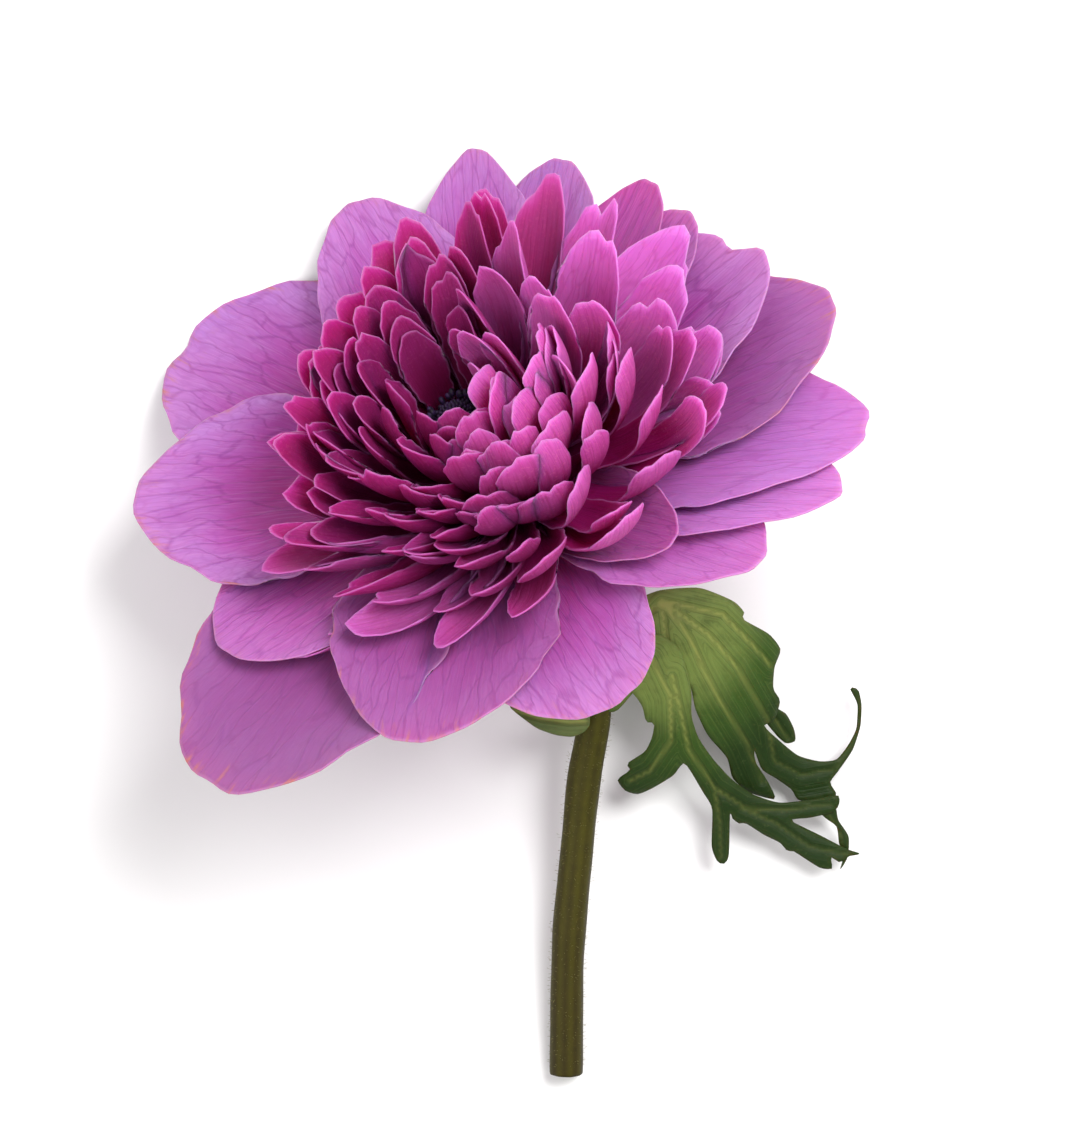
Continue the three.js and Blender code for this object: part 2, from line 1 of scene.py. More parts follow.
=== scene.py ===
# %% [markdown]
# Looks for a double anemone that lies on a table
# The CAD frame holds the exact, faceted flower. This script builds the same flower again with thin, smooth
# petals, veined tepals, a downy stem and cut leaves, and lays each fine piece over the CAD node that it
# stands for. The CAD solids could be smoothed and coloured instead. They are replaced because they have
# few faces and blunt rims, and a flower is judged by its thin, uneven margins. Shapes are worked out in
# millimetres, as in the CAD, and become metres when a mesh is made.

# %% Load the frame
import math

import bpy
import numpy as np
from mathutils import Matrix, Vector
from mathutils.geometry import delaunay_2d_cdt


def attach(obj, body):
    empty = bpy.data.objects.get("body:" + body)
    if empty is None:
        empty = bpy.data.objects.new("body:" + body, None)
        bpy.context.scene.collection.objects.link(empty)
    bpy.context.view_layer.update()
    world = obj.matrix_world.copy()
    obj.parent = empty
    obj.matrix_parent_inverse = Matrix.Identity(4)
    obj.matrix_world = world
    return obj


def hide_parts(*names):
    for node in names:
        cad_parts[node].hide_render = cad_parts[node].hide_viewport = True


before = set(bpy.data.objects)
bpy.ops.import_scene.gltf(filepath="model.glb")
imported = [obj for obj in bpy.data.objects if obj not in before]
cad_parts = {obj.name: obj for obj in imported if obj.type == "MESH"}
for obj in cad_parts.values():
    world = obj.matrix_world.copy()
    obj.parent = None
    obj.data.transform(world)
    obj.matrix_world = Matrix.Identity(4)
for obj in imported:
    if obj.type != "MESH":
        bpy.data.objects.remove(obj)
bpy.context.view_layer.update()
print("CAD nodes:", ", ".join(sorted(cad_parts)))

# %% [markdown]
# The bloom's own frame
# Its root is a point above the table. Its axis leans back from straight up by TILT, towards a direction
# that is LEAN degrees left of +Y. Azimuth 0 lies along OUT, to the right, and azimuth 90 along SIDE, which
# points down and away to the back. The petals could be built flat and turned afterwards by a matrix. Three
# vectors do the same here, because the step from the bloom's frame to the table's is then one readable
# line.

# %% Placing things in the bloom
BLOOM_AT = np.array([-2.3, 16.4, 27.0])
TILT = math.radians(43)
LEAN = math.radians(26)
AXIS = np.array([-math.sin(LEAN) * math.sin(TILT), math.cos(LEAN) * math.sin(TILT), math.cos(TILT)])
OUT = np.array([math.cos(LEAN), math.sin(LEAN), 0.0])
SIDE = np.cross(AXIS, OUT)


def in_bloom(points):
    """Points of the bloom's frame, x outward, y sideways and z along the axis, in the frame of the part."""
    return BLOOM_AT + points[..., :1] * OUT + points[..., 1:2] * SIDE + points[..., 2:] * AXIS


print("The bloom's axis:", np.round(AXIS, 3))

# %% [markdown]
# One formula for every petal
# A petal is a midrib and a width. The midrib starts at the root and its elevation turns steadily from rise
# to climb, its heading from skew by turn. Across it lies an arc that cups towards the axis. Petals could
# be sculpted by hand or bent from planes with modifiers. One formula is used because the real petals are
# all of one kind and differ only in length, slope, cup and twist, so that a row of numbers is enough for
# each.

# %% Settings of a petal
# lengths and widths are in millimetres, angles in degrees, and the rest are shares
PETAL = dict(
    root_r=3.9, root_h=-1.3, late=1, skew=0, turn=0, curl=0,
    base=0.4, widest=0.6, shoulder=0.75, left=1, right=1,
    tip=0.35, point=1.3, notch=0, notch_at=0, ragged=0,
    cup=50, twist=0, roll=0, wave=0, waves=2, phase=0,
)


def settings_of(petals):
    """A reader: value(key) holds that setting of every petal, shaped to fit petals by rows by columns."""
    def value(key):
        return np.array([{**PETAL, **p}[key] for p in petals], float)[:, None, None]

    return value


print("Settings that shape a petal:", ", ".join(PETAL))

# %% [markdown]
# The midrib of a real petal isn't a plain arc: it stands up at the foot, leans out and often curls at the
# tip. A Bezier curve could follow it. Here it is walked in small steps, each along the heading that holds
# there, because the slope at the foot and at the tip can then be given outright.

# %% Midribs
STEPS = 48


def heading(value, t):
    """Elevation and heading of the midrib at t, in radians.

    elevation(t) = rise + (climb - rise) t^late + curl over the last 0.3, heading(t) = skew + turn t^late
    """
    swing = t ** value("late")
    curl = value("curl") * np.clip((t - 0.7) / 0.3, 0, 1) ** 2
    elevation = np.radians(value("rise") + (value("climb") - value("rise")) * swing + curl)
    return elevation, np.radians(value("skew") + value("turn") * swing)


def midribs(value, s):
    """Points of the midribs at s: even steps along the heading are added up, with straight lines between."""
    middle_of_step = (np.arange(STEPS)[None, None, :] + 0.5) / STEPS
    elevation, bearing = heading(value, middle_of_step)
    step = np.stack([np.cos(elevation) * np.cos(bearing), np.cos(elevation) * np.sin(bearing),
                     np.sin(elevation)], -1)
    step = step[:, 0] * value("length") / STEPS
    midrib = np.concatenate([np.zeros((len(step), 1, 3)), np.cumsum(step, 1)], 1)
    midrib[..., 0] += value("root_r")[:, 0]
    midrib[..., 2] += value("root_h")[:, 0]
    at = np.clip(s * STEPS, 0, STEPS)
    k = np.minimum(at.astype(int), STEPS - 1)
    which = np.arange(len(s))[:, None, None]
    part = (at - k)[..., None]
    return midrib[which, k] * (1 - part) + midrib[which, k + 1] * part


print("Steps along each midrib:", STEPS)

# %% [markdown]
# The outline is what tells one anemone petal from another: a rounded or pointed tip, sometimes a notch,
# and a margin with small bites. It could be drawn for each petal. It is a formula here, in which a few
# settings and a phase make every margin its own.

# %% Outlines
NOTCH_WIDTH = 0.16


def petal_ends(value, v, cosine):
    """How far each column reaches: 1 - tip (1 - cosine^point), less a notch and a row of small bites."""
    end = 1 - value("tip") * (1 - cosine ** value("point"))
    end = end - value("notch") * np.exp(-((v - value("notch_at")) / NOTCH_WIDTH) ** 2)
    bites = np.sin(11 * v + 7 * value("phase")) * np.sin(5 * v + value("phase"))
    return end * (1 - value("ragged") * (0.6 + 0.4 * bites))


def half_widths(value, s, v):
    """Half the width at s: width/2 (base + (1 - base) sin(pi/2 s/widest)^1.2), less the shoulder beyond widest.

    The two sides v < 0 and v > 0 have their own share of it, and two sines along s nibble at the margin.
    """
    growth = np.sin(np.pi / 2 * np.clip(s / value("widest"), 0, 1)) ** 1.2
    swell = value("base") + (1 - value("base")) * growth
    beyond = np.clip((s - value("widest")) / (1 - value("widest")), 0, 1)
    half = value("width") / 2 * swell * (1 - (1 - value("shoulder")) * beyond ** 2)
    half = half * np.where(v < 0, value("right"), value("left"))
    hand = np.sign(v)
    nibble = np.sin(29 * s + 5 * value("phase") + 2 * hand) + np.sin(47 * s + 9 * value("phase") - hand)
    return half * (1 + value("ragged") * nibble)


print("Width of a notch, as a share of half the petal:", NOTCH_WIDTH)

# %% [markdown]
# A petal is hollow like a spoon and often twists on its way out. A flat strip could be bent afterwards. It
# is simpler to lay each row of points on an arc square to the midrib, and to roll the row a little further
# at every step. The columns are spaced as the sine of an even angle, so that the rounded tip comes out
# smooth.

# %% Petal surfaces
def petal_surfaces(petals, rows, columns):
    """Middle surfaces of many petals at once, in the part's frame: petals by rows by columns by 3.

    s runs from 0 at the foot to 1 at the tip, less where the tip is rounded or bitten, and v from -1 to 1.
    sideways = half sin(cup v)/cup, upward = half (1 - cos(cup v))/cup + a wave that grows towards the edge,
    and both are turned about the midrib by roll + twist s.
    """
    value = settings_of(petals)
    q = np.linspace(-1, 1, columns)[None, None, :] * np.pi / 2
    v = np.sin(q)
    s = np.linspace(0, 1, rows)[None, :, None] * petal_ends(value, v, np.maximum(np.cos(q), 0))
    elevation, bearing = heading(value, s)
    sideways = np.stack([-np.sin(bearing), np.cos(bearing), 0 * bearing], -1)
    upward = np.stack([-np.sin(elevation) * np.cos(bearing), -np.sin(elevation) * np.sin(bearing),
                       np.cos(elevation)], -1)
    half = half_widths(value, s, v)
    arc = np.radians(value("cup"))
    x = half * np.sin(arc * v) / arc
    ripple = np.sin(value("waves") * np.pi * s + value("phase") + 1.7 * np.sign(v))
    y = half * (1 - np.cos(arc * v)) / arc + value("wave") * ripple * np.abs(v) ** 2 * s
    roll = np.radians(value("roll") + value("twist") * s)
    points = midribs(value, s) + (x * np.cos(roll) - y * np.sin(roll))[..., None] * sideways
    points = points + (x * np.sin(roll) + y * np.cos(roll))[..., None] * upward
    angle = np.radians(value("azimuth"))[..., None]
    turned = np.concatenate([
        points[..., :1] * np.cos(angle) - points[..., 1:2] * np.sin(angle),
        points[..., :1] * np.sin(angle) + points[..., 1:2] * np.cos(angle),
        points[..., 2:]], -1)
    return in_bloom(turned)


plain = petal_surfaces([dict(azimuth=0, length=20, width=8, rise=40, climb=60)], 9, 5)
print("A plain petal's tip lies at", np.round(plain[0, -1, 2], 1), "mm")

# %% [markdown]
# From surfaces to closed blades
# A real petal is a soft sheet that gets thinner towards its margin. A Solidify modifier could give it a
# thickness, but an even one. Here a blade has a front and a back, half a thickness either side of its
# middle surface, and a strip round its rim, and the thickness thins to a third at the margin. The place
# along and across each petal goes into the UV map, so that veins can follow it.

# %% Blades
# the share of a blade's thickness that is left at its margin
RIM = 0.35


def smooth(x, low, high):
    """0 below low, 1 above high, and 3t^2 - 2t^3 between."""
    t = np.clip((x - low) / (high - low), 0, 1)
    return t * t * (3 - 2 * t)


def grid_blade(rows, columns):
    """Faces of one blade: the front grid, the back grid wound the other way, and the strip round the rim."""
    index = np.arange(rows * columns).reshape(rows, columns)
    a, b, c, d = index[:-1, :-1], index[1:, :-1], index[1:, 1:], index[:-1, 1:]
    front = np.stack([a, b, c, d], -1).reshape(-1, 4)
    back = front[:, ::-1] + rows * columns
    rim = np.concatenate([index[:-1, 0], index[-1, :-1], index[:0:-1, -1], index[0, :0:-1]])
    following = np.roll(rim, -1)
    strip = np.stack([following, rim, rim + rows * columns, following + rows * columns], -1)
    return np.concatenate([front[:, ::-1], back[:, ::-1], strip[:, ::-1]])


def blades(surfaces, thickness):
    """Closed blades round an array of surfaces: points, faces, and each point's place along and across."""
    count, rows, columns, _ = surfaces.shape
    lengthways = np.gradient(surfaces, axis=1)
    crossways = np.gradient(surfaces, axis=2)
    normal = np.cross(lengthways, crossways)
    normal /= np.linalg.norm(normal, axis=-1, keepdims=True) + 1e-9
    u, q = np.meshgrid(np.linspace(0, 1, rows), np.linspace(-1, 1, columns), indexing="ij")
    v = np.sin(q * np.pi / 2)
    edge = np.minimum(1 - np.abs(v), 1 - u)
    half = thickness / 2 * (RIM + (1 - RIM) * smooth(edge, 0, 0.15))[None, ..., None]
    points = np.concatenate([(surfaces + normal * half).reshape(count, -1, 3),
                             (surfaces - normal * half).reshape(count, -1, 3)], 1)
    one = grid_blade(rows, columns)
    faces = (one[None] + (np.arange(count) * 2 * rows * columns)[:, None, None]).reshape(-1, 4)
    uv = np.stack([u, v / 2 + 0.5], -1).reshape(-1, 2)
    uv = np.tile(uv, (2 * count, 1))
    return points.reshape(-1, 3), faces, uv


print("Faces of a blade of 3 by 3 points:", len(grid_blade(3, 3)))

# %% [markdown]
# Arrays become a piece when they go into a mesh. Points could be added one at a time, which is slow for a
# hundred thousand of them, so whole arrays are handed over. What a finish has to know about a vertex, such
# as how much painted light its petal gets, goes along as an attribute.

# %% Meshes
MM = 0.001


def mesh_object(name, points, faces, attributes, uv, material):
    """A smooth mesh from arrays in millimetres. Attributes hold one number a vertex, and uv two, if any."""
    mesh = bpy.data.meshes.new(name)
    mesh.from_pydata((points * MM).tolist(), [], faces.tolist() if isinstance(faces, np.ndarray) else faces)
    mesh.shade_smooth()
    for key, values in attributes.items():
        layer = mesh.attributes.new(key, "FLOAT", "POINT")
        layer.data.foreach_set("value", np.asarray(values, np.float32))
    if uv is not None:
        corners = np.zeros(len(mesh.loops), np.int32)
        mesh.loops.foreach_get("vertex_index", corners)
        mesh.uv_layers.new(name="UVMap").data.foreach_set("uv", uv[corners].astype(np.float32).ravel())
    mesh.materials.append(material)
    piece = bpy.data.objects.new(name, mesh)
    bpy.context.scene.collection.objects.link(piece)
    triangles = sum(len(p.vertices) - 2 for p in mesh.polygons)
    print(f"{name}: {len(mesh.vertices)} vertices, {triangles} triangles")
    return piece


print("A millimetre is", MM, "m")

# %% [markdown]
# Shader maths in plain arithmetic
# Veins, streaks and pale rims are sums and products of simple patterns. The nodes could be placed and
# linked one by one, but that hides the idea. A Field is a value in a material's graph, and adding or
# multiplying two Fields adds the Math node that does it, so that a finish reads as a formula.

# %% Colours and Fields
def ink(red, green, blue):
    """A colour given as screen values from 0 to 255, in linear light."""
    screen = np.array([red, green, blue]) / 255
    return tuple(np.where(screen <= 0.04045, screen / 12.92, ((screen + 0.055) / 1.055) ** 2.4)) + (1.0,)


class Field:
    """A value in a material's graph. Arithmetic on it adds Math nodes."""

    def __init__(self, graph, socket):
        self.graph = graph
        self.socket = socket

    def __add__(self, other):
        return self.graph.math("ADD", self, other)

    def __radd__(self, other):
        return self.graph.math("ADD", other, self)

    def __sub__(self, other):
        return self.graph.math("SUBTRACT", self, other)

    def __rsub__(self, other):
        return self.graph.math("SUBTRACT", other, self)

    def __mul__(self, other):
        return self.graph.math("MULTIPLY", self, other)

    def __rmul__(self, other):
        return self.graph.math("MULTIPLY", other, self)

    def __pow__(self, other):
        return self.graph.math("POWER", self, other)


print("Middle grey in linear light:", round(float(ink(128, 128, 128)[0]), 3))

# %% [markdown]
# A graph adds the nodes that a Field can't: noise, cells, ramps, colour blends and relief. Each pattern of
# a flower needs only these five. They could come from a library of ready materials, but a petal's veins
# have to follow the petal, and that takes a graph made for it.

# %% Graphs
class Graph:
    """A material and its nodes. Each method adds one kind of node or pattern."""

    def __init__(self, name):
        self.material = bpy.data.materials.new(name)
        self.material.use_nodes = True
        self.tree = self.material.node_tree
        self.tree.nodes.clear()

    def node(self, kind, settings=None, inputs=None):
        """Adds a node, sets its settings and fills its inputs, each from a Field or a constant."""
        made = self.tree.nodes.new(kind)
        for key, value in (settings or {}).items():
            setattr(made, key, value)
        for key, value in (inputs or {}).items():
            if isinstance(value, Field):
                self.tree.links.new(value.socket, made.inputs[key])
            else:
                made.inputs[key].default_value = value
        return made

    def math(self, operation, *values):
        """One Math node on Fields or numbers."""
        made = self.node("ShaderNodeMath", {"operation": operation}, dict(enumerate(values)))
        return Field(self, made.outputs[0])

    def attribute(self, name):
        return Field(self, self.node("ShaderNodeAttribute", {"attribute_name": name}).outputs["Fac"])

    def along_across(self):
        """The place along the petal, 0 to 1, and across it, -1 to 1, from the UV map."""
        uv = Field(self, self.node("ShaderNodeUVMap", {"uv_map": "UVMap"}).outputs["UV"])
        split = self.node("ShaderNodeSeparateXYZ", inputs={"Vector": uv})
        return Field(self, split.outputs["X"]), Field(self, split.outputs["Y"]) * 2 - 1

    def place(self, x, y, z):
        """A point for a pattern, from three Fields or numbers."""
        return Field(self, self.node("ShaderNodeCombineXYZ", inputs={"X": x, "Y": y, "Z": z}).outputs[0])

    def object_place(self):
        return Field(self, self.node("ShaderNodeTexCoord").outputs["Object"])

    def noise(self, place, scale, detail):
        inputs = {"Vector": place, "Scale": scale, "Detail": detail}
        return Field(self, self.node("ShaderNodeTexNoise", inputs=inputs).outputs["Fac"])

    def cells(self, place):
        """Distance to the nearest edge between the cells of a Voronoi pattern."""
        inputs = {"Vector": place, "Scale": 1.0}
        made = self.node("ShaderNodeTexVoronoi", {"feature": "DISTANCE_TO_EDGE"}, inputs)
        return Field(self, made.outputs["Distance"])

    def ramp(self, value, low, high):
        """0 below low, 1 above high, smooth between."""
        inputs = {"Value": value, "From Min": low, "From Max": high}
        made = self.node("ShaderNodeMapRange", {"interpolation_type": "SMOOTHSTEP"}, inputs)
        return Field(self, made.outputs[0])

    def blend(self, factor, first, second):
        """The first colour where factor is 0 and the second where it is 1."""
        made = self.node("ShaderNodeMix", {"data_type": "RGBA"}, {0: factor, 6: first, 7: second})
        return Field(self, made.outputs[2])

    def relief(self, height, depth_mm, strength):
        """A normal bent by the slope of height, which stands for depth_mm where it is 1."""
        inputs = {"Height": height, "Distance": depth_mm * MM, "Strength": strength}
        return Field(self, self.node("ShaderNodeBump", inputs=inputs).outputs["Normal"])

    def surface(self, inputs):
        """Closes the graph with one Principled shader and gives the material."""
        shader = self.node("ShaderNodeBsdfPrincipled", inputs=inputs)
        output = self.node("ShaderNodeOutputMaterial")
        self.tree.links.new(shader.outputs[0], output.inputs["Surface"])
        print(f"Material {self.material.name}: {len(self.tree.nodes)} nodes")
        return self.material


print("A graph can add:", ", ".join(name for name in vars(Graph) if not name.startswith("_")))

# %% [markdown]
# Outer tepals
# They are pale lilac with a magenta base, netted with fine darker veins that fan out from the base. Some
# tips are notched and scorched to ochre. The veins could come from a picture. Stretched Voronoi cells are
# used instead: their edges branch and meet as real veins do, they follow each tepal, and they need no
# image.

# %% The tepals' material
def tepal_material():
    """Magenta paling to lilac outwards, with veins, threads, soft folds, scorched tips, and painted light and
    shade on some tepals.
    """
    g = Graph("lilac_tepal")
    along, across = g.along_across()
    tone = g.attribute("tone")
    warm = g.attribute("warm")
    dusk = g.attribute("dusk")
    seed = tone * 40
    wander = g.noise(g.place(along * 4, across * 3, seed), 1.6, 3) - 0.5
    fan = across * (1.3 - along * 0.5)
    main = g.cells(g.place(along * 3.4 + wander * 0.5, fan * 8 + wander * 0.9, seed))
    net = g.cells(g.place(along * 13 + wander * 1.5, fan * 23 + wander * 2.2, seed + 9))
    veins = 1 - g.ramp(main, 0.0, 0.065)
    threads = 1 - g.ramp(net, 0.0, 0.16)
    grain = g.noise(g.place(along * 5, fan * 60, seed), 1.5, 3)
    folds = g.noise(g.place(along * 2.4, fan * 4.2, seed + 5), 1.0, 2)
    middle = g.blend(tone, ink(168, 74, 162), ink(158, 68, 154))
    pale = g.blend(tone, ink(180, 120, 188), ink(166, 110, 180))
    early = g.attribute("early")
    reach = along + wander * 0.22 + (across ** 2) * 0.08 + early * 0.2
    body = g.blend(g.ramp(reach, 0.4, 0.8), ink(156, 28, 120), middle)
    body = g.blend(g.ramp(reach, 0.66, 1.04), body, pale)
    body = g.blend(warm, body, g.blend(g.ramp(along, 0.4, 0.95), ink(140, 30, 102), ink(172, 68, 152)))
    body = g.blend(g.ramp(folds, 0.35, 0.75) * 0.22, body, ink(150, 52, 140))
    body = g.blend(veins * (0.7 - along * 0.34), body, ink(122, 38, 120))
    body = g.blend(threads * 0.17, body, ink(122, 44, 124))
    body = g.blend(g.ramp(grain, 0.45, 0.75) * 0.14, body, ink(214, 160, 216))
    # painted shade: this share darkens tepals that lie in shade to a dull lilac
    body = g.blend(dusk * 0.8, body, ink(124, 66, 122))
    # painted light: the same share lightens these tepals as if more light fell on them; above, it also moves
    # their lilac nearer the base
    body = g.blend(early * 0.36, body, ink(196, 108, 198))
    edge = g.ramp(g.math("MAXIMUM", along * 3 - 2, g.math("ABSOLUTE", across)), 0.965, 1.0)
    body = g.blend(edge * 0.3, body, ink(214, 158, 206))
    spots = g.noise(g.place(along * 9, across * 12, seed), 1.5, 3) - 0.5
    scorch = g.ramp(along + spots * 0.42, 0.975, 1.12) * g.attribute("scorch")
    body = g.blend(scorch, body, ink(176, 112, 96))
    normal = g.relief(folds * 3.0 + grain * 0.3 - veins * 0.2, 0.2, 0.7)
    return g.surface({"Base Color": body, "Roughness": 0.6 - grain * 0.1, "Normal": normal,
                      "Sheen Weight": 0.06, "Specular IOR Level": 0.22,
                      "Subsurface Weight": 0.3, "Subsurface Scale": 1.2 * MM})


lilac_tepal = tepal_material()

# %% [markdown]
# Seventeen large tepals stand in a loose double ring, and no two are alike. They could be scattered at
# random, but the outline of the flower is theirs, so each one is placed one by one. It has an azimuth round
# the bloom, the reach and lift of its tip, and the bend of its midrib. The midrib is an arc, so its first
# and last elevations follow from its chord.

# %% The seventeen tepals
def tepal(azimuth, reach, lift, bend, width, **more):
    """Petal settings from the reach and lift of the tip: the chord's slope, plus and minus half the bend."""
    outward = reach - PETAL["root_r"]
    upward = lift - PETAL["root_h"]
    half = math.radians(bend / 2)
    slope = math.degrees(math.atan2(upward, outward))
    length = math.hypot(outward, upward) * (half / math.sin(half) if bend else 1)
    form = dict(azimuth=azimuth, width=width, length=length, rise=slope - bend / 2, climb=slope + bend / 2)
    return {**form, "ragged": 0.016, "phase": azimuth / 7, **more}


# azimuth, reach and lift of the tip, bend, width, and then what is special about a tepal
TEPALS = [
    tepal(121, 47.0, 0.1, 8, 31, tip=0.5, point=1.0, widest=0.66, shoulder=0.95, cup=22, base=0.3,
          wave=1.0, waves=3.2, notch=0.03, notch_at=0.1, scorch=1.0),
    tepal(157, 40.0, 4.0, 8, 26, tip=0.46, point=1.2, widest=0.64, shoulder=0.92, cup=16, wave=1.0,
          waves=3, left=1.16, scorch=0.9),
    tepal(196, 36.0, 1.8, 4, 25, tip=0.5, point=1.2, shoulder=0.85, cup=14, wave=0.8, waves=3, phase=1,
          roll=5, warm=0.45),
    tepal(211, 49.0, -1.0, -6, 26, tip=0.42, point=1.2, widest=0.66, shoulder=0.88, cup=14, left=1.25,
          right=1.14, base=0.5, wave=0.8, waves=2.6, notch=0.02, notch_at=-0.1, roll=2, scorch=1.0,
          dusk=0.9),
    tepal(240, 39.5, 1.4, -8, 24, tip=0.5, point=1.1, shoulder=0.9, cup=12, roll=-9, left=1.15, wave=0.6,
          waves=3, scorch=0.7, warm=0.4, dusk=0.65),
    tepal(270, 35.0, -7.0, -36, 21, tip=0.3, point=1.0, widest=0.6, shoulder=0.96, cup=24, turn=9,
          wave=0.7, waves=3, base=0.6, left=0.86, right=1.12, scorch=0.6, dusk=0.2),
    tepal(300, 31.0, 4.0, 22, 13, tip=0.4, point=1.0, cup=50, roll=12, warm=0.8),
    tepal(306, 39.0, 0.0, 0, 19, tip=0.45, point=1.2, shoulder=0.8, cup=14, roll=-5, wave=0.8, waves=3,
          warm=0.3, early=0.5),
    tepal(320, 44.3, 1.0, 0, 22, tip=0.5, point=1.4, cup=12, roll=-6, right=0.85, wave=0.7, waves=3.5,
          early=1),
    tepal(331, 46.0, 1.0, -4, 22, tip=0.46, point=1.4, cup=12, roll=-6, left=1.2, wave=0.6, waves=3,
          notch=0.02, early=1),
    tepal(354, 43.5, 3.5, 4, 22, tip=0.42, point=0.9, cup=20, right=1.3, wave=1.0, waves=3, scorch=0.8,
          warm=0.15, dusk=0.5),
    tepal(5, 39.0, 7.5, 10, 27, tip=0.45, point=1.2, cup=24, wave=1.0, waves=4, notch=0.05, notch_at=0.3),
    tepal(22, 36.5, 8.0, 12, 16, tip=0.4, point=1.3, cup=24, wave=0.8, waves=3, warm=0.4),
    tepal(30, 36.5, 10.5, 14, 14, tip=0.4, point=1.1, cup=30, warm=0.9),
    tepal(59, 46.8, -0.5, 4, 17, tip=0.45, point=1.2, cup=24, wave=0.7, waves=3),
    tepal(70, 44.8, 5.0, 6, 17, tip=0.45, point=1.5, cup=24, wave=0.6, waves=3),
    tepal(88, 42.5, 5.5, 8, 19, tip=0.45, point=1.0, cup=20, turn=6, wave=0.7, waves=3),
]
print(len(TEPALS), "tepals, the longest", round(max(t["length"] for t in TEPALS), 1), "mm")

# %% [markdown]
# A soft tepal that meets the table lies down on it. A cloth simulation could settle it. A formula is
# enough here: heights near the table level off softly, and heights well above it don't change.

# %% Build the tepals
TEPAL_ROWS = 56
TEPAL_COLUMNS = 35
BLADE_THICKNESS = 0.4
# the finest tepal sheets settle this far above the table
TEPAL_LOWEST = 0.25


def lay_down(height, lowest):
    """Heights that settle softly on lowest: lowest + log(1 + exp(6 x))/6, where x is the height above it."""
    above = 6 * (height - lowest)
    return lowest + np.logaddexp(0, above) / 6


def build_tepals():
    """All the tepals as one piece of closed blades, settled on the table."""
    rng = np.random.default_rng(5)
    surfaces = petal_surfaces(TEPALS, TEPAL_ROWS, TEPAL_COLUMNS)
    surfaces[..., 2] = lay_down(surfaces[..., 2], TEPAL_LOWEST)
    points, faces, uv = blades(surfaces, BLADE_THICKNESS)
    per_blade = 2 * TEPAL_ROWS * TEPAL_COLUMNS
    attributes = {"tone": np.repeat(rng.uniform(0, 1, len(TEPALS)), per_blade)}
    # the fourth share darkens a tepal with painted shade, and the last one starts its lilac sooner and lightens
    # it with painted light
    for key, usual in (("warm", 0), ("scorch", 0.25), ("dusk", 0), ("early", 0)):
        attributes[key] = np.repeat([t.get(key, usual) for t in TEPALS], per_blade)
    piece = mesh_object("tepal_blades", points, faces, attributes, uv, lilac_tepal)
    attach(piece, "root")
    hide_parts("outer_tepals")


build_tepals()

# %% [markdown]
# Inner petals
# Whorls of narrow deep magenta petals stand round a hollow. On the side towards the viewer they are steep
# and blunt and bend inwards, on the far side they form an upright wall, and low on the left they sweep
# sideways. Each one is velvety, darker in fine streaks, with a thin pale rim, and darker at its foot, partly
# in its own colour and partly in painted shade. On the near side the petals get painted light, and painted
# shade between them. One material serves them all, and numbers kept on the mesh say how much painted light
# a petal gets and how pale its colour is, because a hundred materials would be hard to tune.

# %% The inner petals' material
def petal_material():
    """Deep to bright magenta along the petal, partly painted shade and light, with streaks, a pale rim and
    salmon speckles.
    """
    g = Graph("magenta_petal")
    along, across = g.along_across()
    tone = g.attribute("tone")
    light = g.attribute("light")
    fresh = g.attribute("fresh")
    seed = tone * 37
    wander = g.noise(g.place(along * 3, across * 3, seed), 1.5, 2) - 0.5
    streaks = g.noise(g.place(along * 2.0, across * 9 + wander * 2, seed), 1.6, 3)
    ridges = g.noise(g.place(along * 1.2, across * 17 + wander, seed + 4), 1.0, 2)
    veins = 1 - g.ramp(g.cells(g.place(along * 5, across * 7 + wander * 2, seed)), 0.0, 0.1)
    # painted shade: the deep foot is partly the petal's own dark base and partly painted shade where the petals
    # crowd together
    deep = g.blend(tone, ink(116, 10, 68), ink(102, 8, 58))
    bright = g.blend(tone, ink(142, 32, 104), ink(124, 26, 88))
    # painted light: on the near side the feet are lifted out of shade and the tips painted lighter, as if lit
    # from the front
    deep = g.blend(fresh, deep, ink(168, 20, 110))
    bright = g.blend(fresh, bright, g.blend(tone, ink(222, 108, 192), ink(202, 84, 168)))
    # on the near side the dark foot reaches further up each petal: painted shade between the overlapping petals
    body = g.blend(g.ramp(along + wander * 0.16, 0.34 + fresh * 0.38, 1.0), deep, bright)
    lilac = g.blend(g.ramp(along, 0.2, 0.9), ink(172, 40, 134), ink(204, 112, 196))
    body = g.blend(light, body, lilac)
    body = g.blend(g.ramp(streaks, 0.44, 0.72) * (0.34 - light * 0.2), body, ink(104, 8, 60))
    body = g.blend(veins * (0.1 + light * 0.14), body, ink(130, 24, 100))
    edge = g.math("MAXIMUM", g.math("ABSOLUTE", across), along * 4 - 3)
    body = g.blend(g.ramp(edge, 0.91, 1.0) * (0.22 + fresh * 0.14), body, ink(208, 140, 206))
    salmon = g.ramp(g.noise(g.object_place(), 2600.0, 2), 0.57, 0.66)
    speckled = salmon * (0.05 + fresh * 0.27 + light * 0.1) * g.ramp(along, 0.4, 0.9)
    body = g.blend(speckled, body, ink(222, 116, 156))
    normal = g.relief(ridges * 0.9 + streaks * 0.5, 0.14, 0.7)
    return g.surface({"Base Color": body, "Roughness": 0.62 - streaks * 0.12, "Normal": normal,
                      "Specular IOR Level": 0.14, "Subsurface Weight": 0.7, "Subsurface Scale": 2.4 * MM,
                      "Subsurface Radius": (1.0, 0.3, 0.55)})


magenta_petal = petal_material()

# %% [markdown]
# There are too many inner petals to place by hand, and a particle system would be lost when the model is
# exported. One rule gives each petal its form from its azimuth and its share of the way out. What the rule
# needs is listed here: the whorls, the form at some azimuths, and where the flower is fullest.

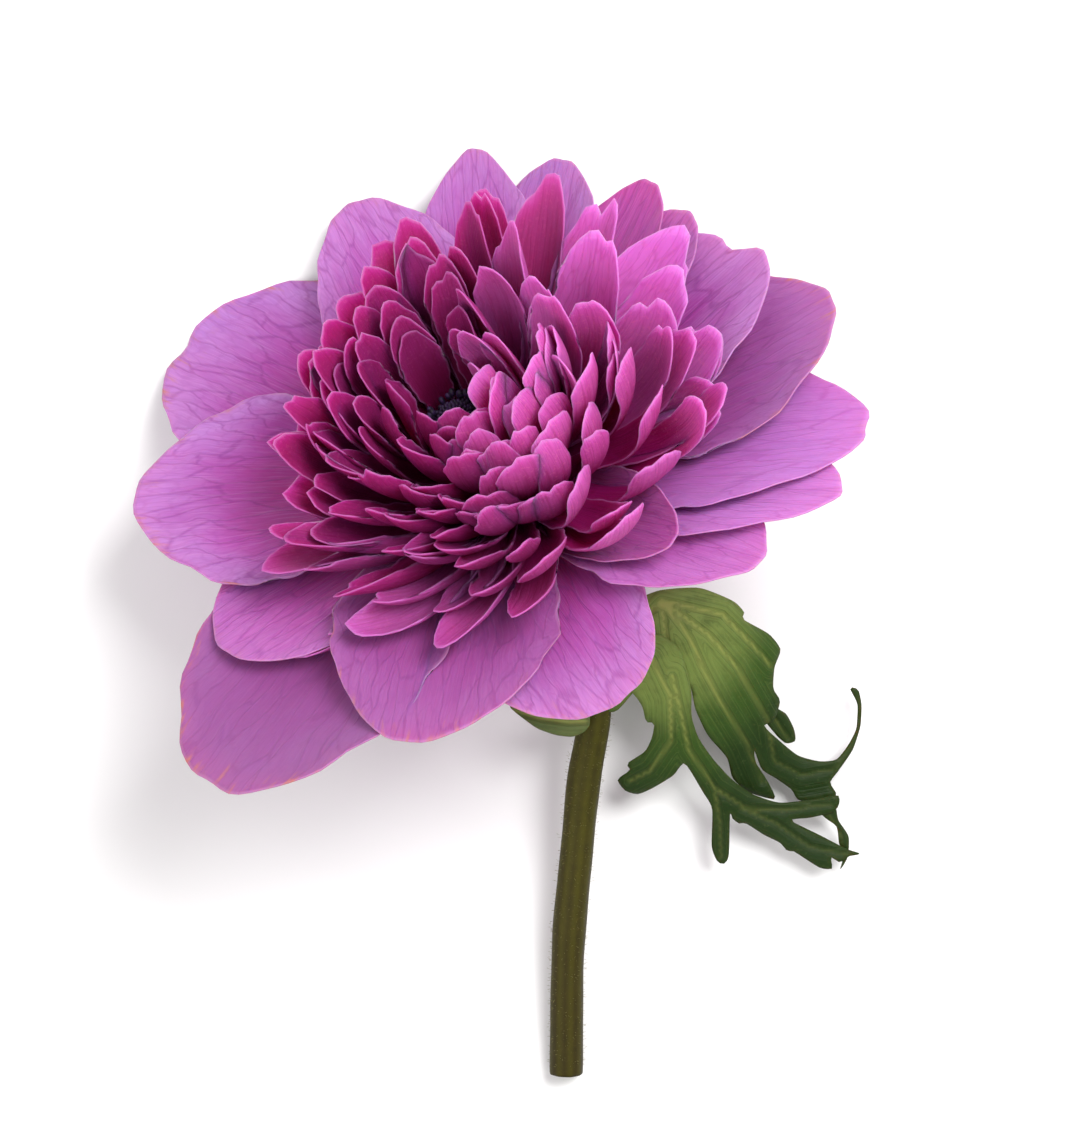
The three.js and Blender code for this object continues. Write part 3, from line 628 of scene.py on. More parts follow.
# %% Whorls, shapes and crowds
# count, root radius and height, width of each whorl, from the hollow outwards
WHORLS = [(7, 4.8, 4.0, 5.4), (10, 5.1, 3.5, 5.6), (12, 5.3, 3.0, 6.0), (14, 5.5, 2.5, 6.3),
          (16, 5.7, 2.0, 6.6), (17, 5.9, 1.4, 6.9), (17, 6.0, 0.8, 7.6)]
# azimuth of the tip, then length, rise and climb in the first, the middle and the last whorl
SHAPES = [
    (0, (14.0, 84, 126), (23.0, 54, 110), (31.0, 12, 34)),
    (58, (15.0, 74, 88), (23.0, 55, 80), (27.5, 36, 58)),
    (82, (14.0, 75, 90), (21.0, 54, 82), (24.0, 40, 65)),
    (104, (13.0, 75, 92), (19.5, 54, 84), (20.5, 41, 72)),
    (125, (12.0, 76, 96), (18.0, 52, 86), (19.0, 36, 76)),
    (165, (11.0, 74, 98), (17.0, 44, 88), (18.5, 18, 62)),
    (210, (11.0, 72, 100), (17.0, 26, 78), (28.5, -9, 20)),
    (245, (11.0, 70, 104), (17.0, 24, 88), (26.0, -8, 36)),
    (275, (11.0, 72, 104), (20.0, 30, 100), (29.0, -5, 70)),
    (305, (11.0, 74, 104), (22.0, 38, 110), (30.0, -4, 74)),
    (337, (13.0, 80, 112), (23.0, 36, 98), (29.0, 0, 50)),
]
# more petals where the flower is fullest: count, first and last azimuth, first and last share of the way out,
# width
CROWDS = [(24, 186, 268, 0.5, 1.0, 5.6), (12, 316, 356, 0.45, 1.0, 5.6), (8, 130, 182, 0.4, 1.0, 5.6),
          (19, 258, 326, 0.3, 0.95, 4.3)]
print("Petals in the whorls:", sum(whorl[0] for whorl in WHORLS))
print("Petals in the crowds:", sum(crowd[0] for crowd in CROWDS))

# %% [markdown]
# Between the listed azimuths the form has to change without a step, or the flower would show it as a seam.
# Straight lines between the values would do for most of it. A smooth step is used because it also stays
# level at each listed azimuth.

# %% The form at any azimuth
def bump(azimuth, centre, half):
    """A raised cosine: 1 at the centre azimuth, 0 from half degrees away."""
    away = abs((azimuth - centre + 180) % 360 - 180)
    return 0.5 + 0.5 * math.cos(math.pi * min(away / half, 1))


def shape_of(azimuth, share):
    """Length, rise and climb: a parabola through the three whorls, and a smooth step between the azimuths."""
    azimuth = azimuth % 360
    keys = SHAPES + [(360,) + SHAPES[0][1:]]
    for low, high in zip(keys, keys[1:]):
        if low[0] <= azimuth <= high[0]:
            part = smooth(azimuth, low[0], high[0])
            first, middle, last = (np.array(a) * (1 - part) + np.array(b) * part
                                   for a, b in zip(low[1:], high[1:]))
            return (first * (2 * share - 1) * (share - 1) + middle * 4 * share * (1 - share)
                    + last * share * (2 * share - 1))


print("Length, rise and climb at azimuth 300, half way out:", np.round(shape_of(300, 0.5), 1))

# %% [markdown]
# No two petals of an anemone are alike, and some parts of the flower are more unruly than others. The same
# spread of luck everywhere would look machine-made. So each setting has its own spread, and raised cosines
# make it wider on the near side and on the left, and carry what else differs round the flower.

# %% One petal's settings
def petal_at(azimuth, share, root_r, root_h, width, luck):
    """Settings of one inner petal from its azimuth, share of the way out, root and luck, each from -1 to 1."""
    near = bump(azimuth, 310, 70)
    swept = bump(azimuth, 222, 78)
    tall = bump(azimuth, 80, 70)
    right = bump(azimuth, 4, 46)
    rough = bump(azimuth, 185, 75)
    length, rise, climb = shape_of(azimuth, np.clip(share + 0.05 * luck[0], 0, 1))
    length = length * (1 + (0.06 + 0.08 * rough + 0.05 * near) * luck[1])
    aside = -42 * swept * (0.35 + 0.65 * share)
    turn = (12 + 22 * rough + 14 * near) * luck[5] - 58 * swept * (0.4 + 0.6 * share)
    chord = length * math.cos(math.radians((rise + climb) / 2))
    bearing = aside + math.degrees(math.asin(root_r * math.sin(math.radians(aside)) / max(chord, root_r)))
    return dict(
        azimuth=azimuth - aside, root_r=root_r, root_h=root_h, length=length,
        rise=rise + 5 * luck[2], climb=climb + 8 * luck[3], skew=bearing - turn / 2, turn=turn,
        width=width * (1 - 0.08 * near + (0.1 + 0.14 * rough) * luck[6] + 0.5 * share * bump(azimuth, 8, 42)),
        late=1 + 0.7 * near,
        base=0.36, widest=0.62 + 0.08 * near, shoulder=0.78 + 0.22 * near, tip=0.34 - 0.2 * near,
        point=1.15 - 0.5 * near, cup=48 + 14 * luck[7] - 22 * near + 20 * swept,
        twist=(16 + 18 * rough) * luck[8] + 20 * swept, curl=(14 + 26 * rough) * luck[9] - 12 * tall,
        ragged=0.035 - 0.015 * near,
        notch=(1 - 0.8 * near) * (0.03 + 0.03 * luck[10]) + 0.05 * share * right, notch_at=0.7 * luck[11],
        roll=50 * bump(azimuth, 345, 48) * (1 - 0.25 * share) + (8 + 14 * near) * luck[4],
        wave=0.4, waves=2.5, phase=6 * luck[10],
        # how much painted light and painted shade a petal gets on the near side
        tone=0.5 + 0.5 * luck[11], fresh=near * (1 - 0.3 * share),
        light=share * right + 0.45 * smooth(share, 0.75, 1) * bump(azimuth, 222, 50),
    )


print("Length of a plain near petal:", round(petal_at(310, 0.5, 5.5, 2.5, 6.3, [0] * 12)["length"], 1), "mm")

# %% [markdown]
# Luck has to fall the same way in each run, and the same way as in the CAD, because every fine petal lies
# on its solid. Each language has its own random numbers, and they differ. So the dice are a short rule
# that any language can follow.

# %% Throw the dice
GOLDEN_ANGLE = 137.5


def dice(seed):
    """Random numbers from 0 to 1, always the same: a state is 16807 times the last, modulo 2^31 - 1."""
    state = seed
    while True:
        state = state * 16807 % 2147483647
        yield state / 2147483647


def inner_petals():
    """Settings of every inner petal: the whorls, then the crowds, with one row of throws for all."""
    throws = dice(11)
    petals = []

    def lucks(count):
        return [2 * next(throws) - 1 for _ in range(count)]

    for whorl, (count, root_r, root_h, width) in enumerate(WHORLS):
        share = whorl / (len(WHORLS) - 1)
        for i in range(count):
            # evenly round the whorl with a little luck, then drawn towards the near side
            even = GOLDEN_ANGLE * whorl + 360 * i / count + 6 * lucks(1)[0]
            azimuth = even - 14 * math.sin(math.radians(even - 270))
            petals.append(petal_at(azimuth, share, root_r, root_h, width, lucks(12)))
    for count, first, last, low, high, width in CROWDS:
        for i in range(count):
            azimuth = first + (last - first) * i / (count - 1)
            # golden steps spread the petals over the crowd's whole width
            share = low + (high - low) * (i * 0.618 % 1)
            petals.append(petal_at(azimuth, share, 6.0, 3.6 - 3.0 * share, width + share, lucks(12)))
    return petals


print("Inner petals:", len(inner_petals()))

# %% [markdown]
# The petals grow from a small round core at the bottom of the hollow, which would otherwise be open to the
# table. A sphere could close it. A tube with a radius for every height is used, because it fits the slope
# of the roots, and the stem needs tubes as well.

# %% Tubes
def tube(path, radii, sides):
    """A closed tube: rings square to the path, made from two vectors across it, and a pole at each end."""
    tangent = np.gradient(path, axis=0)
    tangent /= np.linalg.norm(tangent, axis=1, keepdims=True)
    first = np.cross(tangent, [1.0, 0.0, 0.3])
    first /= np.linalg.norm(first, axis=1, keepdims=True)
    second = np.cross(tangent, first)
    turn = np.arange(sides) * 2 * np.pi / sides
    circle = np.cos(turn)[None, :, None] * first[:, None] + np.sin(turn)[None, :, None] * second[:, None]
    points = path[:, None] + circle * radii[..., None]
    index = np.arange(len(path) * sides).reshape(-1, sides)
    ahead = np.roll(index, -1, 1)
    wall = np.stack([index[:-1], index[1:], ahead[1:], ahead[:-1]], -1).reshape(-1, 4)
    low = len(path) * sides
    foot = [[low, int(b), int(a)] for a, b in zip(ahead[0], index[0])]
    head = [[int(a), low + 1, int(b)] for a, b in zip(index[-1], ahead[-1])]
    points = np.concatenate([points.reshape(-1, 3), path[:1], path[-1:]])
    return points, wall.tolist() + foot + head, circle


short = tube(np.array([[0, 0, 0], [0, 0, 1], [0, 0, 2.0]]), np.ones((3, 6)), 6)
print("Faces of a tube with 3 rings and 6 sides:", len(short[1]))

# %% [markdown]
# Each petal could be an object of its own. They are one piece, because they grow together on one
# receptacle and stand for one CAD node, and because a single mesh is easier to handle than 156.

# %% Build the inner petals
PETAL_ROWS = 22
PETAL_COLUMNS = 13
# height and radius of the core that the petals grow from
CORE = np.array([(-2.2, 3.4), (-1.6, 4.5), (-0.8, 5.4), (0.2, 6.1), (1.4, 6.3), (2.6, 5.9), (3.6, 5.2),
                 (4.4, 4.2), (4.8, 2.6)])
CORE_SIDES = 32


def build_petals():
    """All the inner petals and the core that holds their roots, as one piece."""
    petals = inner_petals()
    surfaces = petal_surfaces(petals, PETAL_ROWS, PETAL_COLUMNS)
    points, faces, uv = blades(surfaces, BLADE_THICKNESS)
    per_blade = 2 * PETAL_ROWS * PETAL_COLUMNS
    attributes = {key: np.repeat([p[key] for p in petals], per_blade) for key in ("tone", "light", "fresh")}
    rise = np.zeros((len(CORE), 3))
    rise[:, 2] = CORE[:, 0]
    core, core_faces, _ = tube(in_bloom(rise), np.repeat(CORE[:, 1:], CORE_SIDES, 1), CORE_SIDES)
    faces = faces.tolist() + [[n + len(points) for n in face] for face in core_faces]
    points = np.concatenate([points, core])
    uv = np.concatenate([uv, np.full((len(core), 2), [0.05, 0.5])])
    attributes = {key: np.concatenate([values, np.zeros(len(core))]) for key, values in attributes.items()}
    piece = mesh_object("petal_crowd", points, faces, attributes, uv, magenta_petal)
    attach(piece, "root")
    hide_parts("inner_petals")


build_petals()

# %% [markdown]
# The dark centre
# Small pointed carpels cover a cone, each turned to follow the cone's surface, and short stamens stand
# round its foot. A bump pattern on one cone could hint at them. Real shapes are used because they give the
# dark hollow its sparkle, and all come from one little spindle with few faces that is copied by arrays.

# %% Spindles
def spindles(feet, directions, lengths, radii, sides):
    """Closed spindles, one a foot: four rings that swell and shrink along a direction, and two poles."""
    profile = np.array([0.55, 1.0, 0.9, 0.5])
    heights = np.array([0.1, 0.4, 0.75, 0.93])
    directions = directions / np.linalg.norm(directions, axis=1, keepdims=True)
    helper = np.where(np.abs(directions[:, 2:]) < 0.9, np.array([[0, 0, 1.0]]), np.array([[1.0, 0, 0]]))
    first = np.cross(directions, helper)
    first /= np.linalg.norm(first, axis=1, keepdims=True)
    second = np.cross(directions, first)
    turn = np.arange(sides) * 2 * np.pi / sides
    circle = np.cos(turn)[None, :, None] * first[:, None] + np.sin(turn)[None, :, None] * second[:, None]
    along = directions[:, None, None] * (heights[None, :, None, None] * lengths[:, None, None, None])
    around = circle[:, None] * (profile[None, :, None, None] * radii[:, None, None, None])
    rings = feet[:, None, None] + along + around
    poles = np.stack([feet, feet + directions * lengths[:, None]], 1)
    points = np.concatenate([rings.reshape(len(feet), -1, 3), poles], 1)
    count = len(profile)
    index = np.arange(count * sides).reshape(count, sides)
    ahead = np.roll(index, -1, 1)
    wall = np.stack([index[:-1], ahead[:-1], ahead[1:], index[1:]], -1).reshape(-1, 4)
    low = [[a, count * sides, b] for a, b in zip(index[0], ahead[0])]
    high = [[b, count * sides + 1, a] for a, b in zip(index[-1], ahead[-1])]
    one = [list(map(int, f)) for f in wall] + [list(map(int, f)) for f in low + high]
    size = points.shape[1]
    faces = [[i + n * size for i in face] for n in range(len(feet)) for face in one]
    return points.reshape(-1, 3), faces


one_each = np.ones(1)
print("Faces of a spindle:", len(spindles(np.zeros((1, 3)), np.ones((1, 3)), one_each, one_each, 5)[1]))

# %% [markdown]
# The centre is almost black, and a single dark colour would look like a hole. A fine violet grain and a
# relief of the same grain give its small faces something to catch.

# %% The centre's material
def centre_material():
    """Near-black violet, a little lighter in a fine grain, and matt."""
    g = Graph("dark_carpel")
    grain = g.noise(g.object_place(), 1800.0, 3)
    body = g.blend(g.ramp(grain, 0.35, 0.7), ink(20, 8, 30), ink(58, 28, 82))
    normal = g.relief(grain, 0.1, 0.8)
    return g.surface({"Base Color": body, "Roughness": 0.55 + grain * 0.2, "Normal": normal})


dark_carpel = centre_material()

# %% [markdown]
# Carpels grow in spirals, as seeds do in a sunflower. They could stand in rings, but rings show as
# stripes. The golden turn from each to the next spreads them evenly and leaves no stripes.

# %% Build the centre
CARPELS = 230
STAMENS = 46
CENTRE_FOOT = 5.2
CONE_RADII = [2.1, 2.1, 3.4]
# the turn from one carpel to the next, in radians, which spreads them evenly over the cone
CARPEL_TURN = 2.39996


def carpel_cone(rng):
    """Carpels over half an ellipsoid: equal steps of height, and one golden turn from each to the next."""
    i = np.arange(CARPELS)
    polar = np.arccos(1 - (i + 0.5) / CARPELS)
    azimuth = i * CARPEL_TURN
    away = np.stack([np.sin(polar) * np.cos(azimuth), np.sin(polar) * np.sin(azimuth), np.cos(polar)], -1)
    place = away * CONE_RADII + [0, 0, CENTRE_FOOT + 0.6]
    lengths = 1.0 + rng.uniform(-0.1, 0.2, CARPELS)
    return spindles(place, away + [0, 0, 0.8], lengths, np.full(CARPELS, 0.26), 5)


def stamen_ring(rng):
    """Filaments that lean outwards from a ring, and a blunt anther on the tip of each."""
    turn = np.arange(STAMENS) * 2 * np.pi / STAMENS * 3.618
    ring = np.stack([np.cos(turn), np.sin(turn), 0 * turn], -1)
    feet = ring * rng.uniform(2.3, 2.75, (STAMENS, 1)) + [0, 0, CENTRE_FOOT]
    rods = ring * 0.18 + [0, 0, 1.0]
    tall = rng.uniform(1.8, 3.4, STAMENS)
    filaments = spindles(feet, rods, tall, np.full(STAMENS, 0.12), 5)
    tips = feet + rods / np.linalg.norm(rods, axis=1, keepdims=True) * (tall[:, None] - 0.2)
    leaning = rods + rng.uniform(-0.3, 0.3, (STAMENS, 3))
    anthers = spindles(tips, leaning, np.full(STAMENS, 1.1), np.full(STAMENS, 0.36), 7)
    return filaments, anthers


def build_centre():
    """One piece: a plain spindle that fills the middle, then carpels, filaments and anthers over it."""
    rng = np.random.default_rng(3)
    carpels = carpel_cone(rng)
    filaments, anthers = stamen_ring(rng)
    foot = np.array([[0, 0, CENTRE_FOOT - 0.2]])
    points, faces = spindles(foot, np.array([[0, 0, 1.0]]), np.array([4.6]), np.array([2.5]), 24)
    for more, more_faces in (carpels, filaments, anthers):
        faces = faces + [[n + len(points) for n in face] for face in more_faces]
        points = np.concatenate([points, more])
    piece = mesh_object("carpel_cone", in_bloom(points), faces, {}, None, dark_carpel)
    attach(piece, "root")
    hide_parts("centre")


build_centre()

# %% [markdown]
# The stem
# The stem is olive, browner towards the cut end, with faint ridges and short pale down, and it swells into
# the receptacle under the bloom. A Bezier curve with a bevel could draw it. A tube of rings along a
# Catmull-Rom curve is used, because its ridges and its down can then sit on known points.

# %% The stem's route
STEM_ROUTE = BLOOM_AT + np.array([
    [9.7, -70.0, -25.3], [9.9, -55.6, -22.7], [10.9, -43.9, -20.8], [11.7, -35.8, -19.4],
    [12.9, -27.7, -17.7], [11.8, -21.2, -15.6], [7.9, -13.9, -11.9], [3.0, -6.1, -7.3], [1.2, -2.5, -2.9]])
WHORL_AT = STEM_ROUTE[4]


def through(points, count):
    """A Catmull-Rom curve through the points, at count even steps of its length."""
    ends = np.concatenate([[2 * points[0] - points[1]], points, [2 * points[-1] - points[-2]]])
    t = np.linspace(0, 1, 24, endpoint=False)[:, None]
    spans = [0.5 * (2 * b + (c - a) * t + (2 * a - 5 * b + 4 * c - d) * t ** 2
                    + (3 * b - a - 3 * c + d) * t ** 3)
             for a, b, c, d in zip(ends, ends[1:], ends[2:], ends[3:])]
    curve = np.concatenate(spans + [points[-1:]])
    far = np.concatenate([[0], np.cumsum(np.linalg.norm(np.diff(curve, axis=0), axis=1))])
    even = np.linspace(0, far[-1], count)
    return np.stack([np.interp(even, far, curve[:, i]) for i in range(points.shape[1])], -1)


stem_steps = np.diff(through(STEM_ROUTE, 100), axis=0)
print("Length of the stem:", round(float(np.linalg.norm(stem_steps, axis=1).sum()), 1), "mm")

# %% [markdown]
# A fresh stem isn't one green: it is browner where it was cut, greener towards the leaves, and grainy all
# along. The greens could be painted on. They are blended by the level and the ridge that each vertex
# carries, because both are known exactly where the tube is made.

# %% The stem's material
def stem_material():
    """Brown to olive by level, lighter on the ridges, and pale where it is downy."""
    g = Graph("olive_stem")
    level = g.attribute("level")
    ridges = g.attribute("ridge")
    grain = g.noise(g.object_place(), 700.0, 4)
    fine = g.noise(g.object_place(), 3200.0, 2)
    body = g.blend(g.ramp(level, 0.0, 0.75), ink(48, 40, 3), ink(60, 58, 4))
    body = g.blend(g.ramp(level, 0.7, 1.0), body, ink(70, 80, 18))
    body = g.blend(g.ramp(grain, 0.35, 0.75) * 0.4, body, ink(36, 30, 4))
    body = g.blend(ridges * 0.25, body, ink(84, 82, 14))
    body = g.blend(g.ramp(fine, 0.55, 0.75) * 0.12, body, ink(104, 92, 40))
    body = g.blend(g.attribute("downy") * 0.8, body, ink(140, 134, 84))
    normal = g.relief(ridges * 0.6 + grain * 0.4 + fine * 0.2, 0.12, 0.6)
    return g.surface({"Base Color": body, "Roughness": 0.5 + grain * 0.15, "Normal": normal,
                      "Specular IOR Level": 0.18})


olive_stem = stem_material()

# %% [markdown]
# The down on a real stem stands out against the light. Hair curves would be the usual way, but they aren't
# exported, so each hair is a tiny spindle with three sides.

# %% Build the stem
STEM_RADIUS = 1.9
STEM_SIDES = 40
STEM_RINGS = 200
HAIRS = 1800
RIDGES = 9
RIDGE_HEIGHT = 0.035
# nothing may go below this height above the table
LOWEST = 0.02


def stem_down(rng, path, circle):
    """Short hairs on random points of the tube's wall, each leaning a little from the outward line."""
    at = rng.integers(3, len(path) - 12, HAIRS)
    around = rng.integers(0, STEM_SIDES, HAIRS)
    away = circle[at, around]
    feet = path[at] + away * (STEM_RADIUS - 0.05) + rng.normal(0, 0.12, (HAIRS, 3))
    drift = away + rng.normal(0, 0.3, (HAIRS, 3))
    return spindles(feet, drift, rng.uniform(0.25, 0.5, HAIRS), np.full(HAIRS, 0.018), 3)


def receptacle():
    """The swelling under the bloom: a tube on the bloom's axis whose radius follows a given profile."""
    heights = np.array([-8, -6.6, -5.6, -4.6, -3.8, -3.2, -2.6, -2.1, -1.6])
    widths = np.array([1.8, 2.0, 2.3, 2.8, 3.4, 4.1, 4.6, 4.4, 3.2])
    axis = in_bloom(np.stack([0 * heights, 0 * heights, heights], -1))
    return tube(axis, np.repeat(widths[:, None], STEM_SIDES, 1), STEM_SIDES)[:2]


def build_stem():
    """The ridged tube, the swelling and the down as one piece. Each vertex keeps its level and ridge."""
    rng = np.random.default_rng(8)
    path = through(STEM_ROUTE, STEM_RINGS)
    level = np.linspace(0, 1, len(path))
    turn = np.arange(STEM_SIDES) * 2 * np.pi / STEM_SIDES
    ridge = np.sin(RIDGES * turn)[None, :] + 0 * level[:, None]
    wander = 0.03 * np.sin(level * 31) + 0.02 * np.sin(level * 57 + 1)
    points, faces, circle = tube(path, STEM_RADIUS + wander[:, None] + RIDGE_HEIGHT * ridge, STEM_SIDES)
    levels = [np.repeat(level, STEM_SIDES), [0, 1]]
    ridges = [(0.5 + 0.5 * ridge).ravel(), [0.5, 0.5]]
    downy = [np.zeros(len(points))]
    for (more, more_faces), high, raised, hairy in (
            (receptacle(), 1.0, 0.5, 0.0), (stem_down(rng, path, circle), 0.9, 1.0, 1.0)):
        faces = faces + [[n + len(points) for n in face] for face in more_faces]
        points = np.concatenate([points, more])
        levels.append(np.full(len(more), high))
        ridges.append(np.full(len(more), raised))
        downy.append(np.full(len(more), hairy))
    points[:, 2] = np.maximum(points[:, 2], LOWEST)
    attributes = {"level": levels, "ridge": ridges, "downy": downy}
    attributes = {key: np.concatenate(values) for key, values in attributes.items()}
    piece = mesh_object("stem_skin", points, faces, attributes, None, olive_stem)
    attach(piece, "root")
    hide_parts("stem")


build_stem()

# %% [markdown]
# The cut leaves
# The leaves under the bloom are thin and deeply cut into lobes. A grid can't follow such a margin, so each
# leaf is an outline seen from above, filled with a fine net of triangles and draped over a height
# function. The right leaf arches up beside the stem and hangs down to its tips. Veins are lines drawn
# over the leaf, and each vertex keeps how near it lies to one, so that form and colour agree.

# %% Outlines, in millimetres from the point where the leaves grow
RIGHT_BLADE = [
    (0.1, 0.5), (1.1, 7.7), (3.6, 11.9), (7.2, 13.7), (11.9, 14.0), (15.8, 12.5), (17.1, 11.2),
    (17.0, 10.4), (20.0, 8.7), (21.4, 6.9), (20.7, 4.9), (20.6, 2.4), (21.4, 1.0), (20.8, -1.2),
    (19.6, -1.9), (21.1, -3.4), (23.6, -5.4), (26.1, -6.1), (28.1, -5.9), (29.5, -4.2), (30.4, -2.3),
    (30.5, 0.5), (29.6, 2.4), (30.6, 2.2), (31.0, 0.5), (30.9, -2.0), (30.0, -4.8), (28.3, -7.3),
    (27.4, -8.6), (28.1, -10.2), (23.9, -10.7), (22.9, -9.4), (21.1, -8.1), (19.4, -7.0), (18.5, -4.8),
    (18.7, -6.2), (20.1, -8.4), (21.0, -10.5), (18.0, -9.7), (16.0, -8.0), (15.3, -5.6), (13.0, -2.9),
    (11.5, 0.2), (10.9, 2.7), (9.1, 3.0), (5.8, 3.5), (2.5, -0.1)]
RIGHT_LOBES = [
    (1.3, 3.8), (4.7, 7.7), (7.2, 8.8), (9.7, 6.9), (11.0, 2.4), (11.1, -0.6), (11.9, -3.1), (13.6, -5.6),
    (15.8, -8.0), (18.3, -9.8), (21.4, -10.8), (25.0, -10.5), (28.2, -10.0), (28.3, -11.2), (27.5, -12.0),
    (25.0, -12.6), (22.8, -12.9), (26.1, -14.6), (29.2, -16.2), (30.9, -16.8), (29.5, -17.1), (28.5, -17.8),
    (27.4, -17.2), (27.6, -18.5), (26.1, -18.4), (23.1, -16.5), (22.4, -16.5), (21.5, -15.5), (19.7, -14.6),
    (17.5, -13.2), (16.9, -13.3), (16.0, -12.7), (15.7, -12.0), (15.6, -16.9), (15.1, -17.9), (14.3, -17.7),
    (13.6, -15.9), (13.6, -11.5), (12.5, -9.5), (10.4, -6.2), (9.1, -7.6), (6.9, -9.0), (5.1, -9.8),
    (3.6, -9.4), (2.7, -8.1), (4.1, -7.0), (3.8, -6.2), (5.8, -4.8), (6.6, -3.1), (6.8, -1.5), (5.9, -1.3),
    (5.4, 0.5), (4.1, 2.2)]
RIGHT_STRIP = [
    (26.1, -11.8), (26.7, -12.6), (28.1, -13.7), (28.4, -15.7), (29.0, -16.8), (28.5, -18.7), (29.4, -17.2),
    (29.5, -14.8), (28.3, -12.9), (27.9, -11.3)]
RIGHT_LEAFLET = [
    (19.7, 1.0), (21.1, 0.1), (22.2, -0.6), (23.1, -2.3), (23.3, -3.7), (22.2, -4.0), (21.1, -3.1),
    (19.4, -0.9)]
LEFT_LEAF = [
    (-9.7, 0.4), (-6.7, 0.3), (-3.7, 0.4), (-1.7, 0.3), (-0.6, -0.5), (-0.6, -1.7), (-1.3, -2.5),
    (-2.6, -3.0), (-4.5, -2.8), (-6.5, -2.1), (-8.1, -1.0)]
BACK_LEAF = [
    (-1.6, -0.5), (-3.4, 3.0), (-7.0, 5.5), (-9.6, 5.4), (-7.6, 7.2), (-10.6, 8.6), (-8.0, 9.6),
    (-9.0, 12.2), (-5.6, 10.9), (-3.6, 10.4), (-4.4, 13.4), (-7.2, 16.2), (-4.4, 16.0), (-4.6, 19.0),
    (-2.2, 17.4), (-0.8, 20.6), (0.4, 17.0), (2.6, 17.8), (2.0, 14.6), (1.0, 11.6), (2.4, 9.0), (5.0, 9.6),
    (5.6, 12.0), (6.8, 9.0), (8.8, 8.6), (6.6, 6.6), (7.6, 4.6), (4.2, 4.6), (2.2, 2.2), (1.6, -0.5)]
print("Points of the right leaf's blade and lobes:", len(RIGHT_BLADE) + len(RIGHT_LOBES))

# %% [markdown]
# A leaf folds and stiffens along its veins. They could branch by a rule, as veins do in nature. A few
# drawn lines are enough here, because each lobe has one main vein and the finer ones are left to
# the material.

# %% Veins, in millimetres from the same point
BLADE_VEINS = [
    [(1.5, 3.0), (4.5, 9.5), (7.5, 12.6), (10.8, 8.3), (12.3, 4.9), (14.5, 0.9), (17.6, -4.0), (19.5, -8.5)],
    [(7.5, 12.6), (13.0, 8.6), (16.3, 4.9), (20.0, -1.3), (20.8, -6.0), (24.0, -7.7), (28.0, -7.0),
     (30.3, -3.0)],
    [(7.5, 12.6), (14.5, 11.0), (18.5, 7.0), (20.3, 5.0)],
    [(7.5, 12.6), (8.1, 7.4), (9.8, 3.7)]]
LOBE_VEINS = [
    [(3.0, 4.0), (6.5, 6.0), (8.6, 1.5), (8.8, -3.5), (6.5, -7.0), (4.0, -8.3)],
    [(8.8, 4.0), (9.8, 0.0), (10.8, -4.5), (13.8, -9.0), (17.5, -11.4), (22.0, -11.7), (27.5, -11.0)],
    [(17.0, -11.4), (21.0, -13.2), (25.0, -16.0), (29.5, -16.9)],
    [(13.9, -9.5), (14.5, -13.0), (14.7, -17.2)]]
CENTRE_VEIN_LEFT = [[(-9.4, 0.0), (-6.0, -0.9), (-3.0, -1.3), (-1.0, -1.2)]]
BACK_VEINS = [
    [(0, 0), (-1.5, 6.0), (-2.0, 12.0), (-1.2, 19.5)],
    [(0, 1.0), (-4.0, 6.0), (-9.5, 8.6)],
    [(0, 1.0), (3.0, 5.5), (7.8, 8.4)]]
print("Veins of the right leaf's blade and lobes:", len(BLADE_VEINS) + len(LOBE_VEINS))

# %% [markdown]
# A leaf's sheet has to bend, so it needs many small triangles of even size. A filled curve would give long
# slivers. Here the listed outline becomes a smooth border of even steps, a staggered grid of points
# goes inside it, and a constrained Delaunay net joins them.

# %% Filling an outline
def closed_curve(outline, spacing):
    """Points at an even spacing along a smooth closed curve through the outline's points."""
    ring = np.array(outline + outline[:1], float)
    t = np.linspace(0, 1, 12, endpoint=False)[:, None]
    loop = ring[:-1]
    before, ahead, beyond = np.roll(loop, 1, 0), np.roll(loop, -1, 0), np.roll(loop, -2, 0)
    tangent_a = (ahead - before) * 0.32
    tangent_b = (beyond - loop) * 0.32
    spans = [(2 * t ** 3 - 3 * t ** 2 + 1) * a + (t ** 3 - 2 * t ** 2 + t) * ta
             + (3 * t ** 2 - 2 * t ** 3) * b + (t ** 3 - t ** 2) * tb
             for a, b, ta, tb in zip(loop, ahead, tangent_a, tangent_b)]
    curve = np.concatenate(spans + [loop[:1]])
    far = np.concatenate([[0], np.cumsum(np.linalg.norm(np.diff(curve, axis=0), axis=1))])
    even = np.linspace(0, far[-1], max(int(far[-1] / spacing), 8), endpoint=False)
    return np.stack([np.interp(even, far, curve[:, 0]), np.interp(even, far, curve[:, 1])], -1)


def distance_to(points, line):
    """The distance of each point to a line of straight spans."""
    line = np.array(line, float)
    start, span = line[:-1], np.diff(line, axis=0)
    offset = points[:, None] - start[None]
    share = np.clip((offset * span).sum(-1) / (span ** 2).sum(-1), 0, 1)
    return np.linalg.norm(offset - share[..., None] * span, axis=-1).min(1)


